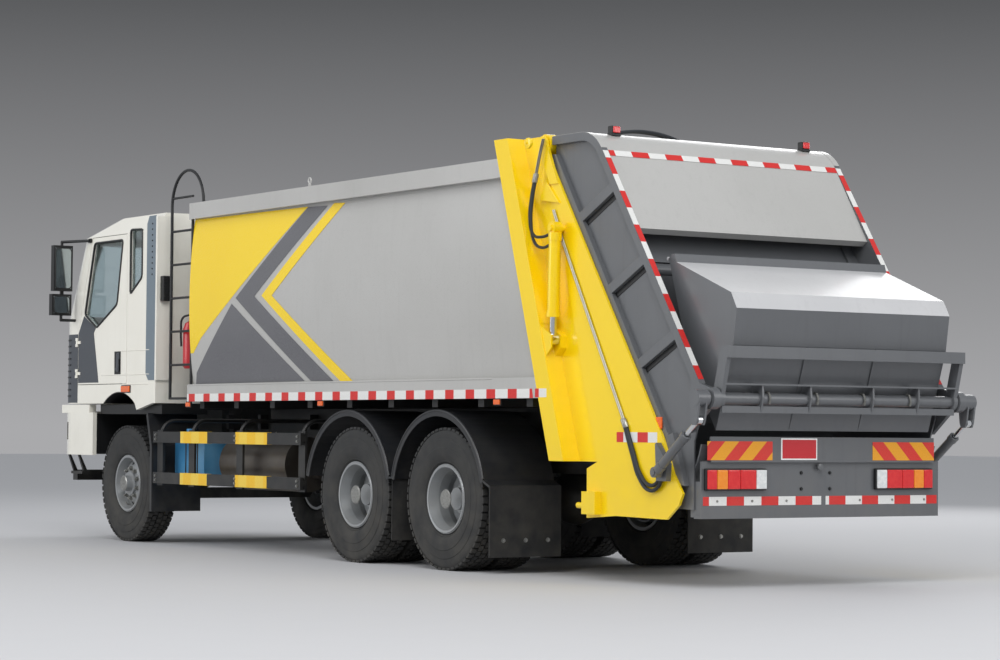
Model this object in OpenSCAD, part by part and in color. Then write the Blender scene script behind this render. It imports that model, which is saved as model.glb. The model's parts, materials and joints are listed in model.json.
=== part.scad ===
// Rear-loading refuse compactor truck, three axles, with a tipping bucket at its tail.
// +X is forward, +Y is the left side, +Z is up, and z = 0 is the ground. Millimetres.

/* [Chassis] */
// Front axle to the front of the bumper
front_overhang = 1450; // [1350:10:1740]
// Front axle to the first driven axle
wheelbase = 4350; // [3900:10:5300]
// First driven axle to the second
tandem_gap = 1350; // [1300:10:1650]
// Top of the frame rails above the ground
rail_top = 1020; // [990:5:1040]
// Height of a frame rail
rail_h = 280; // [220:5:300]
// Width over the two frame rails
rail_span = 860; // [780:10:900]
// Sheet thickness of a frame rail
rail_wall = 10; // [8:1:16]
// Bore of the towing eye
tow_bore = 42; // [30:1:50]

/* [Wheels] */
// Outer diameter of a tyre
tyre_d = 1085; // [900:5:1100]
// Width of a tyre
tyre_w = 293; // [240:1:300]
// Diameter of a rim at the bead
rim_d = 508; // [430:2:600]
// Air between the two tyres of a pair
twin_gap = 37; // [30:1:60]
// Width over the two front tyres
front_track_w = 2316; // [2200:2:2400]
// Width over the outer rear tyres
rear_track_w = 2474; // [2400:2:2500]
// Distance between the two kingpins
kingpin_span = 1860; // [1800:10:1900]
// Diameter of a kingpin
kingpin_d = 44; // [36:1:60]
// Diameter of a wheel spindle
spindle_d = 84; // [60:1:100]

/* [Cab] */
// Width of the cab
cab_w = 2480; // [2070:10:2500]
// Front axle to the back of the cab
cab_back = 780; // [700:10:820]
// Underside of the cab above the ground
cab_bottom = 1290; // [1270:5:1320]
// Top of the cab's roof
cab_top = 3040; // [2900:10:3600]
// Thickness of the cab's walls
cab_wall = 50; // [35:1:60]
// Thickness of the window glass
glass_t = 8; // [5:1:12]
// Gap around a closed door
door_gap = 6; // [5:1:10]

/* [Load body] */
// Width over the rails of the load body
body_w = 2500; // [2400:10:3000]
// Front axle to the front of the load body
body_front = 1440; // [1400:10:1700]
// Top of the load body
body_top = 3070; // [2700:10:3600]
// Upper face of the load floor
floor_top = 1450; // [1430:5:1480]
// Height of the floor and its side rails
sill_h = 150; // [120:5:160]
// Height of the top rails
top_rail_h = 140; // [110:5:170]
// Width of the top and bottom rails
rail_w = 80; // [65:1:100]
// How far the side panels bulge between the rails
side_bulge = 50; // [30:1:60]
// Thickness of a side panel
side_t = 30; // [20:1:40]
// Last axle back to the rear frame's front edge, at the top
portal_back = 740; // [700:10:800]
// Clear width between the posts of the rear frame
portal_gap = 2060; // [1980:10:2080]

/* [Tailgate] */
// Last axle back to the tailgate's hinge
hinge_back = 1150; // [1140:10:1200]
// Height of the tailgate's hinge
hinge_z = 3150; // [3140:5:3200]
// Diameter of the hinge pin
hinge_d = 60; // [40:1:72]
// Clear width between the tailgate's walls
hopper_w = 2100; // [2080:10:2120]
// Thickness of the tailgate's sheets
sheet_t = 12; // [8:1:16]
// Height of the stiffeners on the tailgate's walls
rib_h = 38; // [20:1:40]
// Top of the tailgate's roof
hopper_top = 3200; // [3190:5:3300]
// Radius of the trough's floor
trough_r = 580; // [480:5:590]

/* [Bucket] */
// Width over the tipping bucket
bucket_w = 1910; // [1600:10:2040]
// Thickness of the bucket's sheets
bucket_t = 12; // [8:1:16]
// Last axle back to the bucket's shaft
shaft_back = 3125; // [3120:5:3200]
// Height of the bucket's shaft
shaft_z = 1290; // [1285:5:1320]
// Diameter of the shaft
shaft_d = 84; // [60:1:90]
// Shaft back to the rearmost edge of the lifting frame
frame_back = 133; // [110:1:160]

/* [Cylinders] */
// Bore diameter of the lift cylinders' barrels, outside
lift_barrel_d = 98; // [80:1:100]
// Diameter of the lift rods
lift_rod_d = 50; // [40:1:60]
// Outer diameter of the bucket cylinders' barrels
tip_barrel_d = 72; // [60:1:80]
// Diameter of the bucket rods
tip_rod_d = 36; // [28:1:44]
// Diameter of the cylinders' pins
pin_d = 44; // [32:1:50]

/* [Clearances] */
// Gap of a piece that is seated on another
seat = 0.3; // [0.2:0.1:0.5]
// Gap between a pin and its bore, on the radius
fit = 0.3; // [0.2:0.1:0.5]
// Gap between moving pieces side by side
play = 6; // [5:1:10]

/* [Hidden] */
$fn = 64;

// Overall size and the axles
rear_overhang = shaft_back + frame_back;
overall_l = front_overhang + wheelbase + tandem_gap + rear_overhang;
front_x = overall_l / 2;
fa = front_x - front_overhang;
ma = fa - wheelbase;
ra = ma - tandem_gap;
axle_z = tyre_d / 2;
rail_bottom = rail_top - rail_h;
rail_out = rail_span / 2;
rail_flange = 80;
tow_x = front_x - 76;
tow_len = 50;
rail_in = rail_out - rail_flange;
frame_end = ra - 1600;
bumper_t = 40;
rail_front = front_x - bumper_t - seat;
bearer_top = 1240;
pin_r = pin_d / 2;
shaft_r = shaft_d / 2;

// Wheels
rim_r = rim_d / 2;
hand_hole = 44;           // Holes through a wheel disc, which let air reach the brake
front_wheel_y = front_track_w / 2 - tyre_w / 2;
outer_wheel_y = rear_track_w / 2 - tyre_w / 2;
inner_wheel_y = outer_wheel_y - tyre_w - twin_gap;
kingpin_y = kingpin_span / 2;
spindle_r = spindle_d / 2;
guard_r = tyre_d / 2 + 130;
guard_end = 12;
guard_shift = 90;
guard_y = inner_wheel_y - tyre_w / 2 - 15;
flap_x = ra - 650;

// Cab: the front view is square, the plan has round front corners
cab_front = fa + front_overhang - 20;
cab_rear = fa - cab_back;
cab_y = cab_w / 2;
cab_corner = 400;
belt_z = 2080;
brow_z = 2880;
cab_floor_z = 1400;
floor_t = 40;
tilt_x = cab_front - 70;
tilt_z = cab_bottom - 40;
arch_r = 597;
arch_z = 800;

// Load body
body_y = body_w / 2;
body_x = fa - body_front;
sill_bottom = floor_top - sill_h;
floor_plate = 40;
top_rail_bottom = body_top - top_rail_h;
side_y = body_y - 62;
side_chord = top_rail_bottom - floor_top;
side_r = (pow(side_chord / 2, 2) + pow(side_bulge, 2)) / (2 * side_bulge);
portal_in = portal_gap / 2;
portal_lean = 0.317;
seam_lean = 0.3;
post_recess_y = 1105;
hinge_x = ra - hinge_back;
roof_x = hinge_x - 85;

// Tailgate
hop_y = hopper_w / 2;
wall_lean = 0.685;
wall_front_top = [ra - 1211, 3069];
wall_back_top = [ra - 1888, 3012];
shaft_x = ra - shaft_back;
trough_c = [ra - 2400, 1130];
frame_out = hop_y + sheet_t + rib_h + 20;
board_back = ra - 3000;

// Cylinders, as [x, z]
lift_top = [ra - 1420, 2520];
lift_foot = [ra - 1400, 1720];
lift_y = body_y - 55;
tip_foot = [ra - 2660, 790];
tip_eye = [shaft_x + 5, shaft_z - 146];
tip_y = 1205;
tip_boss_r = pin_r + 14;

function portal_front(z) = ra - portal_back - (3060 - z) * portal_lean;
function seam(z) = hinge_x - (hinge_z - z) * seam_lean;
function wall_back(z) = wall_back_top[0] - (wall_back_top[1] - z) * wall_lean;
function arc(c, r, a0, a1, n) =
    [for (i = [0:n]) let (a = a0 + (a1 - a0) * i / n) [c[0] + r * cos(a), c[1] + r * sin(a)]];
function back(points) = [for (i = [len(points) - 1:-1:0]) points[i]];

// A shape and its mirror image on the right side
module both() {
    children();
    mirror([0, 1, 0]) children();
}

module block(x0, x1, y0, y1, z0, z1) {
    translate([x0, y0, z0]) cube([x1 - x0, y1 - y0, z1 - z0]);
}

// An outline in x and z, extruded across the vehicle
module slab_y(points, y0, y1) {
    translate([0, y1, 0]) rotate([90, 0, 0]) linear_extrude(y1 - y0) polygon(points);
}

// An outline in y and z, extruded along the vehicle
module slab_x(points, x0, x1) {
    translate([x0, 0, 0]) rotate([90, 0, 90]) linear_extrude(x1 - x0) polygon(points);
}

module bar_y(r, y0, y1, x, z) {
    translate([x, y1, z]) rotate([90, 0, 0]) cylinder(r = r, h = y1 - y0);
}

module bar_x(r, x0, x1, y, z) {
    translate([x0, y, z]) rotate([0, 90, 0]) cylinder(r = r, h = x1 - x0);
}

// A round bar from point a to point b
module rod(a, b, r) {
    d = b - a;
    translate(a) rotate([0, acos(d[2] / norm(d)), atan2(d[1], d[0])]) cylinder(r = r, h = norm(d));
}

// A bent tube along points, as one closed skin
module hose(points, r, sides = 8) {
    n = len(points);
    dirs = [for (i = [0:n - 1]) let (d = points[min(i + 1, n - 1)] - points[max(i - 1, 0)]) d / norm(d)];
    rings = [for (i = [0:n - 1]) let (
            s = cross(dirs[i], [0, 1, 0.001]), u = s / norm(s), v = cross(dirs[i], u))
        for (k = [0:sides - 1]) let (a = 360 * k / sides) points[i] + r * (cos(a) * u + sin(a) * v)];
    ends = [[for (k = [0:sides - 1]) k], [for (k = [sides - 1:-1:0]) (n - 1) * sides + k]];
    skin = [for (i = [0:n - 2]) for (k = [0:sides - 1]) let (j = (k + 1) % sides)
        [i * sides + k, (i + 1) * sides + k, (i + 1) * sides + j, i * sides + j]];
    polyhedron(rings, concat(ends, skin), convexity = 6);
}

// ---- Chassis ----

module rail() {
    difference() {
        block(frame_end, rail_front, rail_in, rail_out, rail_bottom, rail_top);
        block(frame_end - 1, rail_front + 1, rail_in - 1, rail_out - rail_wall,
            rail_bottom + rail_wall, rail_top - rail_wall);
    }
}

module frame_rails() {
    cross_x = [front_x - 150, fa - 1300, fa - 2600, ma + 700, (ma + ra) / 2, ra - 650, frame_end + 60];
    bearer_n = floor((body_x - 200 - portal_front(bearer_top)) / 650);
    color("dimgray") {
        both() {
            rail();
            block(portal_front(bearer_top) + seat, body_x - 60, rail_in, rail_out, rail_top - 1, bearer_top);
            cab_hinge_bracket();
            cab_rear_rest();
        }
        for (x = cross_x)
            block(x - 40, x + 40, -rail_out + rail_wall - 1, rail_out - rail_wall + 1,
                rail_bottom + 130, rail_top - 60);
        for (i = [0:bearer_n])
            block(body_x - 160 - i * 650, body_x - 80 - i * 650, -body_y + 90, body_y - 90,
                bearer_top - 1, floor_top - floor_plate);
        rear_underframe();
        tow_lug();
    }
}

// Bracket on a rail that holds the pin of the cab's tilt hinge
module cab_hinge_bracket() {
    slab_y([[tilt_x - 120, rail_top - 1], [tilt_x + 40, rail_top - 1], [tilt_x + 40, tilt_z],
        [tilt_x - 40, tilt_z + 10]], rail_out - 30, rail_out);
    bar_y(34, rail_out - 30, rail_out, tilt_x, tilt_z);
    bar_y(20, rail_out - 90, rail_out - 1, tilt_x, tilt_z);
}

// Post under the back of the cab
module cab_rear_rest() {
    block(cab_rear + 5, cab_rear + 85, rail_in, rail_out, rail_top - 1, cab_bottom - seat);
    block(cab_rear + 5, cab_rear + 85, rail_in, 900, cab_bottom - 60, cab_bottom - seat);
}

// Legs that join the rails' ends to the rear frame
module rear_underframe() {
    both() slab_y([[frame_end + 1, rail_top - 40], [frame_end + 1, 1150 - seat],
        [frame_end + 160, 1150 - seat], [frame_end + 160, rail_top - 40]], rail_in, rail_out);
}

// Towing eye on the front cross member, bored upright for a pin
module tow_lug() {
    z = rail_top - 115;
    difference() {
        union() {
            block(front_x - 120, tow_x, -45, 45, z, z + tow_len);
            translate([tow_x, 0, z]) cylinder(r = 45, h = tow_len);
        }
        translate([tow_x, 0, z - 1]) cylinder(d = tow_bore, h = tow_len + 2);
    }
}

module front_axle() {
    pad = 400;
    color("black") {
        block(fa - 55, fa + 55, -kingpin_y + 130, kingpin_y - 130, pad, 500);
        both() {
            slab_x([[kingpin_y - 180, pad], [kingpin_y - 130, pad], [kingpin_y - 75, axle_z - 55],
                [kingpin_y - 30, axle_z - 55], [kingpin_y - 30, axle_z + 55],
                [kingpin_y - 50, axle_z + 55], [kingpin_y - 180, 500]], fa - 45, fa + 45);
            difference() {
                translate([fa, kingpin_y, axle_z - 60]) cylinder(r = 48, h = 120);
                translate([fa, kingpin_y, axle_z - 61]) cylinder(d = kingpin_d + 2 * fit, h = 122);
            }
        }
    }
}

module drive_axles() {
    color("black") for (x = [ma, ra]) {
        bar_y(72, -inner_wheel_y + 150, inner_wheel_y - 150, x, axle_z);
        bar_y(spindle_r, -outer_wheel_y + 20, outer_wheel_y - 20, x, axle_z);
        translate([x, 0, axle_z]) sphere(r = 210);
        bar_x(90, x, x + 300, 0, axle_z + 30);
        both() block(x - 70, x + 70, 470, 570, axle_z, axle_z + 110);
    }
}

// Leaves between two ends, thickest in the middle
module leaf_pack(x0, x1, z_end, z_mid, thick, y0, y1) {
    mid = (x0 + x1) / 2;
    flat = 135;
    slab_y([[x0, z_end], [x0 + flat, z_end], [mid - 90, z_mid], [mid + 90, z_mid], [x1 - flat, z_end],
        [x1, z_end], [x1, z_end + 34], [mid + 90, z_mid + thick], [mid - 90, z_mid + thick],
        [x0, z_end + 34]], y0, y1);
}

module leaf_springs() {
    bogie = (ma + ra) / 2;
    color("dimgray") both() {
        leaf_pack(fa - 760, fa + 760, rail_bottom - 90, 500, 90, rail_in, rail_out);
        for (s = [-1, 1])
            block(fa + s * 750 - 40, fa + s * 750 + 40, rail_in, rail_out, rail_bottom - 60, rail_bottom);
        leaf_pack(ra - 60, ma + 60, axle_z + 110 + seat, axle_z - 10, 150, 470, 570);
        bar_y(60, 440, 590, bogie, axle_z - 60);
        slab_y([[bogie - 150, rail_bottom + 100], [bogie - 60, axle_z - 60], [bogie + 60, axle_z - 60],
            [bogie + 150, rail_bottom + 100]], rail_out, 468);
        block(bogie - 85, bogie + 85, 440, 590, axle_z - 60, axle_z - 9);
    }
}

// Engine block, gearbox and propeller shafts
module powertrain() {
    shaft_z0 = axle_z + 30;
    color("gray") {
        block(fa - 350, fa + 950, -330, 330, 610, 1280);
        slab_y([[fa - 349, 640], [fa - 349, 1150], [fa - 800, 1020], [fa - 1150, 960], [fa - 1150, 680]],
            -230, 230);
        bar_x(95, fa - 1240, fa - 1149, 0, 800);
        rod([fa - 1200, 0, 800], [ma + 420, 0, shaft_z0], 55);
        bar_x(80, ma + 300 + seat, ma + 440, 0, shaft_z0);
        rod([ma - 230, 0, shaft_z0], [ra + 420, 0, shaft_z0], 45);
        bar_x(80, ra + 300 + seat, ra + 440, 0, shaft_z0);
        bar_x(70, ma - 300, ma - 210 - seat, 0, shaft_z0);
    }
}

module tank_outline(r, w, h) {
    for (y = [r, w - r]) for (z = [r, h - r]) translate([y, z]) circle(r = r);
    translate([0, r]) square([w, h - 2 * r]);
    translate([r, 0]) square([w - 2 * r, h]);
}

// A tank with round long edges, hung beside a rail on two brackets
module side_tank(x0, x1, y0, y1, z0, z1) {
    translate([x0, y0, z0]) rotate([90, 0, 90]) linear_extrude(x1 - x0)
        tank_outline(70, y1 - y0, z1 - z0);
    for (x = [x0 + 120, x1 - 180])
        block(x, x + 60, rail_out + seat, y0 + 5, z0 + 60, z1 - 20);
}

module fuel_tank() {
    color("silver") mirror([0, 1, 0]) side_tank(fa - 2500, fa - 1150, 540, 1150, 520, 1010);
}

module urea_tank() {
    color("royalblue") side_tank(fa - 1380, fa - 800, 560, 1040, 560, 1000);
}

module exhaust_muffler() {
    color("gray") {
        bar_x(235, fa - 2900, fa - 1700, 820, 760);
        for (x = [fa - 2780, fa - 1880]) block(x, x + 60, rail_out + seat, 700, 820, 960);
        bar_x(55, fa - 1701, fa - 1560, 860, 800);
        bar_x(55, fa - 3020, fa - 2899, 760, 700);
    }
}

// Plan of the cab or bumper: square at the back, round corners at the front
module nose_plan(x0, x1, half, r) {
    translate([x0, -half]) square([x1 - r - x0, 2 * half]);
    translate([x0, -half + r]) square([x1 - x0, 2 * (half - r)]);
    for (s = [-1, 1]) translate([x1 - r, s * (half - r)]) circle(r = r, $fn = 96);
}

module front_bumper() {
    back_x = fa + 550;
    t = bumper_t;
    color("ivory") difference() {
        translate([0, 0, 800]) linear_extrude(405) nose_plan(back_x, front_x, cab_y, cab_corner);
        translate([0, 0, 780]) linear_extrude(445)
            nose_plan(back_x - 1, front_x - t, cab_y - t, cab_corner - t);
        for (s = [-1, 1])
            translate([front_x - 330, s * (cab_y - 210), 1030]) rotate([0, 0, s * 45])
                cube([400, 280, 170], center = true);
        block(front_x - 100, front_x + 1, -430, 430, 900, 1010);
    }
}

// Stirrup steps under the bumper and the bar in front of the wheels
module front_steps() {
    color("black") {
        block(front_x - 260, front_x - 160, -1100, 1100, 550, 650);
        both() {
            block(front_x - 255, front_x - 225, 600, 640, 649, 800 - seat);
            block(front_x - 255, front_x - 225, 330, 400, 649, rail_bottom - seat);
            for (x = [front_x - 560, front_x - 340])
                slab_x([[1130, 640], [1170, 640], [1225, 800 - seat], [1205, 800 - seat]], x, x + 30);
            block(front_x - 560, front_x - 310, 1090, 1190, 615, 641);
        }
    }
}

// Two rails a side with their posts, carried from the frame by bent tubes
module side_guards() {
    x0 = fa - 3490;
    x1 = fa - 740;
    y0 = 1190;
    y1 = 1235;
    color("black") both() {
        for (z = [560, 930]) {
            block(x0, x1, y0 + 15, y1, z, z + 100);
            block(x0, x1, y0, y1 - 12, z + 25, z + 75);
        }
        for (x = [x0, fa - 2390, fa - 1480, x1 - 110])
            block(x, x + 110, y0 - 20, y0 + 1, 540, 1045);
        for (x = [x0 + 30, fa - 2360, fa - 1450, x1 - 90]) {
            translate([x + 25, y0 - 141, 1000]) rotate([90, 0, 90])
                rotate_extrude(angle = 90) translate([130, 0]) circle(r = 18);
            rod([x + 25, y0 - 11, 1001], [x + 25, y0 - 11, 960], 18);
            rod([x + 25, y0 - 140, 1130], [x + 25, 500, 1130], 18);
            block(x, x + 50, rail_out + seat, 510, 1060, 1190);
        }
    }
}

// One wheel arch over twin tyres, with a rolled outer lip
module arch(cx) {
    c = [cx, axle_z];
    outer = arc(c, guard_r, guard_end, 180 - guard_end, 24);
    slab_y(concat(outer, back(arc(c, guard_r - 8, guard_end, 180 - guard_end, 24))), guard_y, cab_y);
    slab_y(concat(outer, back(arc(c, guard_r - 45, guard_end, 180 - guard_end, 24))), cab_y - 10, cab_y + 1);
}

module mudguards() {
    end_x = guard_r * cos(guard_end);
    end_z = axle_z + guard_r * sin(guard_end);
    color("black") both() {
        for (x = [ma + guard_shift, ra + guard_shift]) {
            arch(x);
            block(x - 30, x + 30, rail_out + seat, guard_y + 40, axle_z + guard_r - 50, axle_z + guard_r - 4);
        }
        // bridge between the two arches, and the flare behind the last
        block(ra + guard_shift + end_x - 6, ma + guard_shift - end_x + 6, guard_y, cab_y, end_z, end_z + 14);
        slab_y([[ra + guard_shift - end_x + 2, end_z - 6], [ra + guard_shift - end_x + 8, end_z + 14],
            [flap_x, end_z - 24], [flap_x, end_z - 40], [flap_x + 8, end_z - 40]], guard_y, cab_y);
        // front wheel's splash guard and its bracket
        slab_y([[fa - 690, 300], [fa - 650, 300], [fa - 640, 900], [fa - 560, 1180], [fa - 590, 1200],
            [fa - 680, 900]], 720, 1220);
        block(fa - 672, fa - 650, rail_out + seat, 721, 800, 860);
    }
}

module mud_flaps() {
    end_x = guard_r * cos(guard_end);
    end_z = axle_z + guard_r * sin(guard_end);
    mid = (ma + ra) / 2 + guard_shift;
    color("black") both() {
        block(flap_x - seat - 12, flap_x - seat, guard_y, cab_y, 125, end_z - 26);
        block(mid - 4, mid + 4, guard_y, cab_y - 20, 200, end_z - seat);
    }
}

// ---- Load body ----

// Cuts what lies behind the rear frame's front edge
module before_portal(y) {
    slab_y([[portal_front(1000) + seat, 1000], [body_x + 10, 1000], [body_x + 10, 3300],
        [portal_front(3300) + seat, 3300]], -y, y);
}

module side_arc() {
    zc = (floor_top + top_rail_bottom) / 2;
    yc = side_y + side_bulge - side_r;
    intersection() {
        difference() {
            translate([yc, zc]) circle(r = side_r, $fn = 720);
            translate([yc, zc]) circle(r = side_r - side_t, $fn = 720);
        }
        translate([body_y - 300, floor_top]) square([400, side_chord]);
    }
}

module box_sides() {
    color("silver") both() intersection() {
        translate([ra - 2000, 0, 0]) rotate([90, 0, 90]) linear_extrude(body_x - ra + 2000) side_arc();
        before_portal(body_y);
    }
}

module box_roof() {
    color("silver") intersection() {
        union() {
            block(ra - 2000, body_x, -body_y + 10, body_y - 10, body_top - 30, body_top);
            both() block(ra - 2000, body_x, body_y - rail_w, body_y, top_rail_bottom, body_top);
        }
        before_portal(body_y + 1);
    }
}

module box_floor() {
    color("silver") intersection() {
        union() {
            block(ra - 2000, body_x, -body_y + 10, body_y - 10, floor_top - floor_plate, floor_top);
            both() block(ra - 2000, body_x, body_y - rail_w, body_y, sill_bottom, floor_top);
        }
        before_portal(body_y + 1);
    }
}

module box_front_wall() {
    y = side_y - side_t - 6;
    color("silver") block(body_x - 40, body_x, -y, y, floor_top, body_top - 30);
}

// Posts, head and sill of the frame that the tailgate closes on
module box_rear_frame() {
    foot = 850;
    head = hinge_z + 60;
    color("gold") difference() {
        union() {
            both() {
                slab_y([[portal_front(foot), foot], [portal_front(head), head],
                    [portal_front(head) - 180, head], [portal_front(foot) - 180, foot]],
                    portal_in, body_y);
                slab_y([[portal_front(foot) - 179, foot], [portal_front(head) - 179, head],
                    [hinge_x + 70, head], [seam(hinge_z - 90), hinge_z - 90], [seam(foot), foot]],
                    portal_in, post_recess_y);
                bar_y(75, portal_in, post_recess_y, hinge_x, hinge_z);
                lift_clevis();
            }
            slab_y([[portal_front(head - 40), head - 40], [portal_front(body_top - 90), body_top - 90],
                [seam(body_top - 90) + 20, body_top - 90], [hinge_x + 90, head - 40]],
                -portal_in - 1, portal_in + 1);
            slab_y([[portal_front(1150), 1150], [portal_front(floor_top), floor_top],
                [seam(floor_top), floor_top], [seam(1150), 1150]], -portal_in - 1, portal_in + 1);
        }
        bar_y(hinge_d / 2 + fit, -body_y, body_y, hinge_x, hinge_z);
    }
}

// Two cheeks that take the eye of a lift rod
module lift_clevis() {
    for (y = [post_recess_y - 1, lift_y + 34])
        slab_y([[lift_foot[0] + 130, lift_foot[1] + 120], [lift_foot[0] - 45, lift_foot[1] + 30],
            [lift_foot[0] - 45, lift_foot[1] - 60], [lift_foot[0] + 20, lift_foot[1] - 120],
            [lift_foot[0] + 130, lift_foot[1] - 120]], y, y == lift_y + 34 ? body_y - 8 : lift_y - 34);
    block(lift_foot[0] + 90, lift_foot[0] + 130, post_recess_y, body_y - 8,
        lift_foot[1] - 120, lift_foot[1] + 120);
}

// Ladder beside the load body's front, with an arch onto the roof
module access_ladder() {
    x0 = fa - 1010;
    x1 = fa - 1425;
    y = body_y - 45;
    r = 14;
    arch_r0 = 310;
    color("black") {
        rod([x0, y, 1320], [x0, y, body_top], r);
        rod([x1, y, 1320], [x1, y, body_top], r);
        translate([x0 - arch_r0, y, body_top]) rotate([90, 0, 0])
            rotate_extrude(angle = 180) translate([arch_r0, 0]) circle(r = r);
        for (i = [0:6]) bar_x(11, x1, x0, y, 1330 + i * 302);
        block(x1 - 15 + seat, x1, y - 40, y + 14, 1330, 1380);
        block(x1 - 15 + seat, x1, y - 40, y + 14, 2700, 2750);
        block(x1 - 15 + seat, x1, y - 40, y + 14, 2040, 2090);
    }
}

// Sloping plate that pushes the load out, with its ribs and base
module ejector_panel() {
    x0 = body_x - 110;
    rear = 800;
    top = body_top - 130;
    slope = (top - floor_top) * seam_lean;
    half = side_y - side_t - 12;
    color("slategray") {
        slab_y([[x0 - rear, floor_top + seat], [x0 - rear + slope, top], [x0 - rear + slope + 70, top],
            [x0 - rear + 70, floor_top + seat]], -half, half);
        for (y = [-half, -400, 360, half - 40])
            slab_y([[x0 - rear + 60, floor_top + seat], [x0 - rear + slope + 60, top],
                [x0 - 60, top - 300], [x0, floor_top + seat]], y, y + 40);
        block(x0 - rear + 60, x0, -half, half, floor_top + seat, floor_top + 60);
    }
}

// ---- Cab ----

// Solid form of the cab, all faces moved in by t
module cab_form(t) {
    r = cab_corner - t;
    hull() {
        translate([0, 0, cab_bottom + t]) linear_extrude(belt_z - cab_bottom - t)
            nose_plan(cab_rear + t, cab_front - t, cab_y - t, r);
        translate([0, 0, brow_z - 1]) linear_extrude(1)
            nose_plan(cab_rear + t, cab_front - 450 - t, cab_y - t, r - 80);
        translate([0, 0, cab_top - t - 1]) linear_extrude(1)
            nose_plan(cab_rear + 40 + t, fa + 420 - t, cab_y - 110, 300);
    }
}

// Outline of a door, grown by g
function door_outline(g) = [[fa - 170 - g, cab_floor_z + 75 - g], [fa - 150 - g, 2870 + g],
    [fa + 600 + g, 2870 + g], [fa + 850 + g, 2120], [fa + 900 + g, 1960],
    [fa + 900 + g, cab_floor_z + 75 - g]];
hinge_line_x = fa + 903;
hinge_line_y = cab_y + 14;
door_hinge_z = [1580, 1880];
door_window = [[fa - 67, 2820], [fa + 556, 2820], [fa + 758, 2145], [fa + 496, 2010], [fa + 47, 2220]];
quarter_window = [[fa - 229, 2906], [fa - 479, 2896], [fa - 480, 2452], [fa - 232, 2303]];
screen_window = [[-1030, 2150], [1030, 2150], [960, 2830], [-960, 2830]];

function inset(points, g) = let (c = [for (k = [0, 1]) [for (p = points) p[k]] * [for (p = points) 1]]
    / len(points)) [for (p = points) let (d = p - c) p - d * g / norm(d)];

module cab_shell() {
    color("ivory") {
        difference() {
            cab_form(0);
            difference() {
                cab_form(cab_wall);
                block(cab_rear, cab_front, -cab_y, cab_y, cab_floor_z, cab_floor_z + floor_t);
            }
            block(cab_rear + cab_wall, cab_front - 60, -cab_y + cab_wall, cab_y - cab_wall,
                cab_bottom - 1, cab_bottom + 60);
            both() {
                slab_y(door_outline(door_gap), cab_y - cab_wall - 30, cab_y + 1);
                slab_y(quarter_window, cab_y - cab_wall - 1, cab_y + 1);
            }
            slab_x(screen_window, fa + 700, front_x);
            bar_y(arch_r, -cab_y - 1, cab_y + 1, fa - 10, arch_z);
        }
        both() {
            slab_y([[fa - 350, cab_bottom + 1], [fa - 392, 1228], [cab_rear + 60, cab_bottom + 1]],
                cab_y - 40, cab_y);
            cab_hinge_lug();
            door_hinge_posts();
        }
    }
}

// Lug under the cab's front that turns on the tilt pin
module cab_hinge_lug() {
    difference() {
        union() {
            bar_y(36, rail_out - 80, rail_out - 40, tilt_x, tilt_z);
            block(tilt_x - 36, tilt_x + 40, rail_out - 80, rail_out - 40, tilt_z, cab_bottom + 20);
        }
        bar_y(20 + fit, rail_out - 81, rail_out - 39, tilt_x, tilt_z);
    }
}

// Grille plate on the cab's nose
module front_panel() {
    color("dimgray") difference() {
        block(cab_front + seat, front_x, -780, 780, cab_bottom + 20, 2000);
        for (i = [0:4])
            block(cab_front, front_x + 1, -640, 640, cab_bottom + 120 + i * 110, cab_bottom + 175 + i * 110);
    }
}

module cab_glass() {
    color("lightblue", 0.5) {
        intersection() {
            difference() {
                cab_form(cab_wall / 2 - glass_t / 2);
                cab_form(cab_wall / 2 + glass_t / 2);
            }
            slab_x(inset(screen_window, seat), fa + 700, front_x);
        }
        both() slab_y(inset(quarter_window, seat), cab_y - cab_wall / 2 - glass_t / 2,
            cab_y - cab_wall / 2 + glass_t / 2);
    }
}

// Dashboard across the cab, and the steering wheel on its column
module cab_controls() {
    dash_x = cab_front - 480;
    wheel_c = [dash_x - 230, 620, 2080];
    color("dimgray") {
        slab_y([[dash_x, cab_floor_z + floor_t], [dash_x, 1900], [dash_x - 90, 1960], [dash_x - 60, 2050],
            [dash_x + 200, 2060], [cab_front - cab_wall - 110, 2020],
            [cab_front - cab_wall - 110, cab_floor_z + floor_t]], -860, 860);
        rod([dash_x + 30, 620, 1850], wheel_c, 28);
        translate(wheel_c) rotate([0, -52, 0]) {
            rotate_extrude() translate([225, 0]) circle(r = 15, $fn = 32);
            for (a = [90, 210, 330]) rotate([0, 0, a]) translate([0, -18, -8]) cube([225, 36, 14]);
            translate([0, 0, -20]) cylinder(r = 55, h = 30);
        }
    }
}

// One seat: base, cushion and back as one solid
module seat_form(y0, y1) {
    x = fa - 20;
    block(x - 420, x + 40, y0 + 70, y1 - 70, cab_floor_z + floor_t, 1640);
    slab_y([[x - 470, 1639], [x - 470, 1780], [x + 90, 1800], [x + 110, 1700], [x + 60, 1639]], y0, y1);
    slab_y([[x - 470, 1700], [x - 320, 1770], [x - 420, 2440], [x - 540, 2440], [x - 560, 1760]],
        y0 + 10, y1 - 10);
    slab_y([[x - 440, 2439], [x - 450, 2640], [x - 530, 2640], [x - 530, 2439]], y0 + 110, y1 - 110);
}

module seats() {
    color("darkslategray") {
        seat_form(360, 880);
        seat_form(-880, -360);
    }
}

// A bent bar along points, with a ball at each bend
module bent_bar(points, r) {
    for (i = [0:len(points) - 2]) rod(points[i], points[i + 1], r);
    for (i = [1:len(points) - 2]) translate(points[i]) sphere(r = r + 0.5);
}

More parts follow.
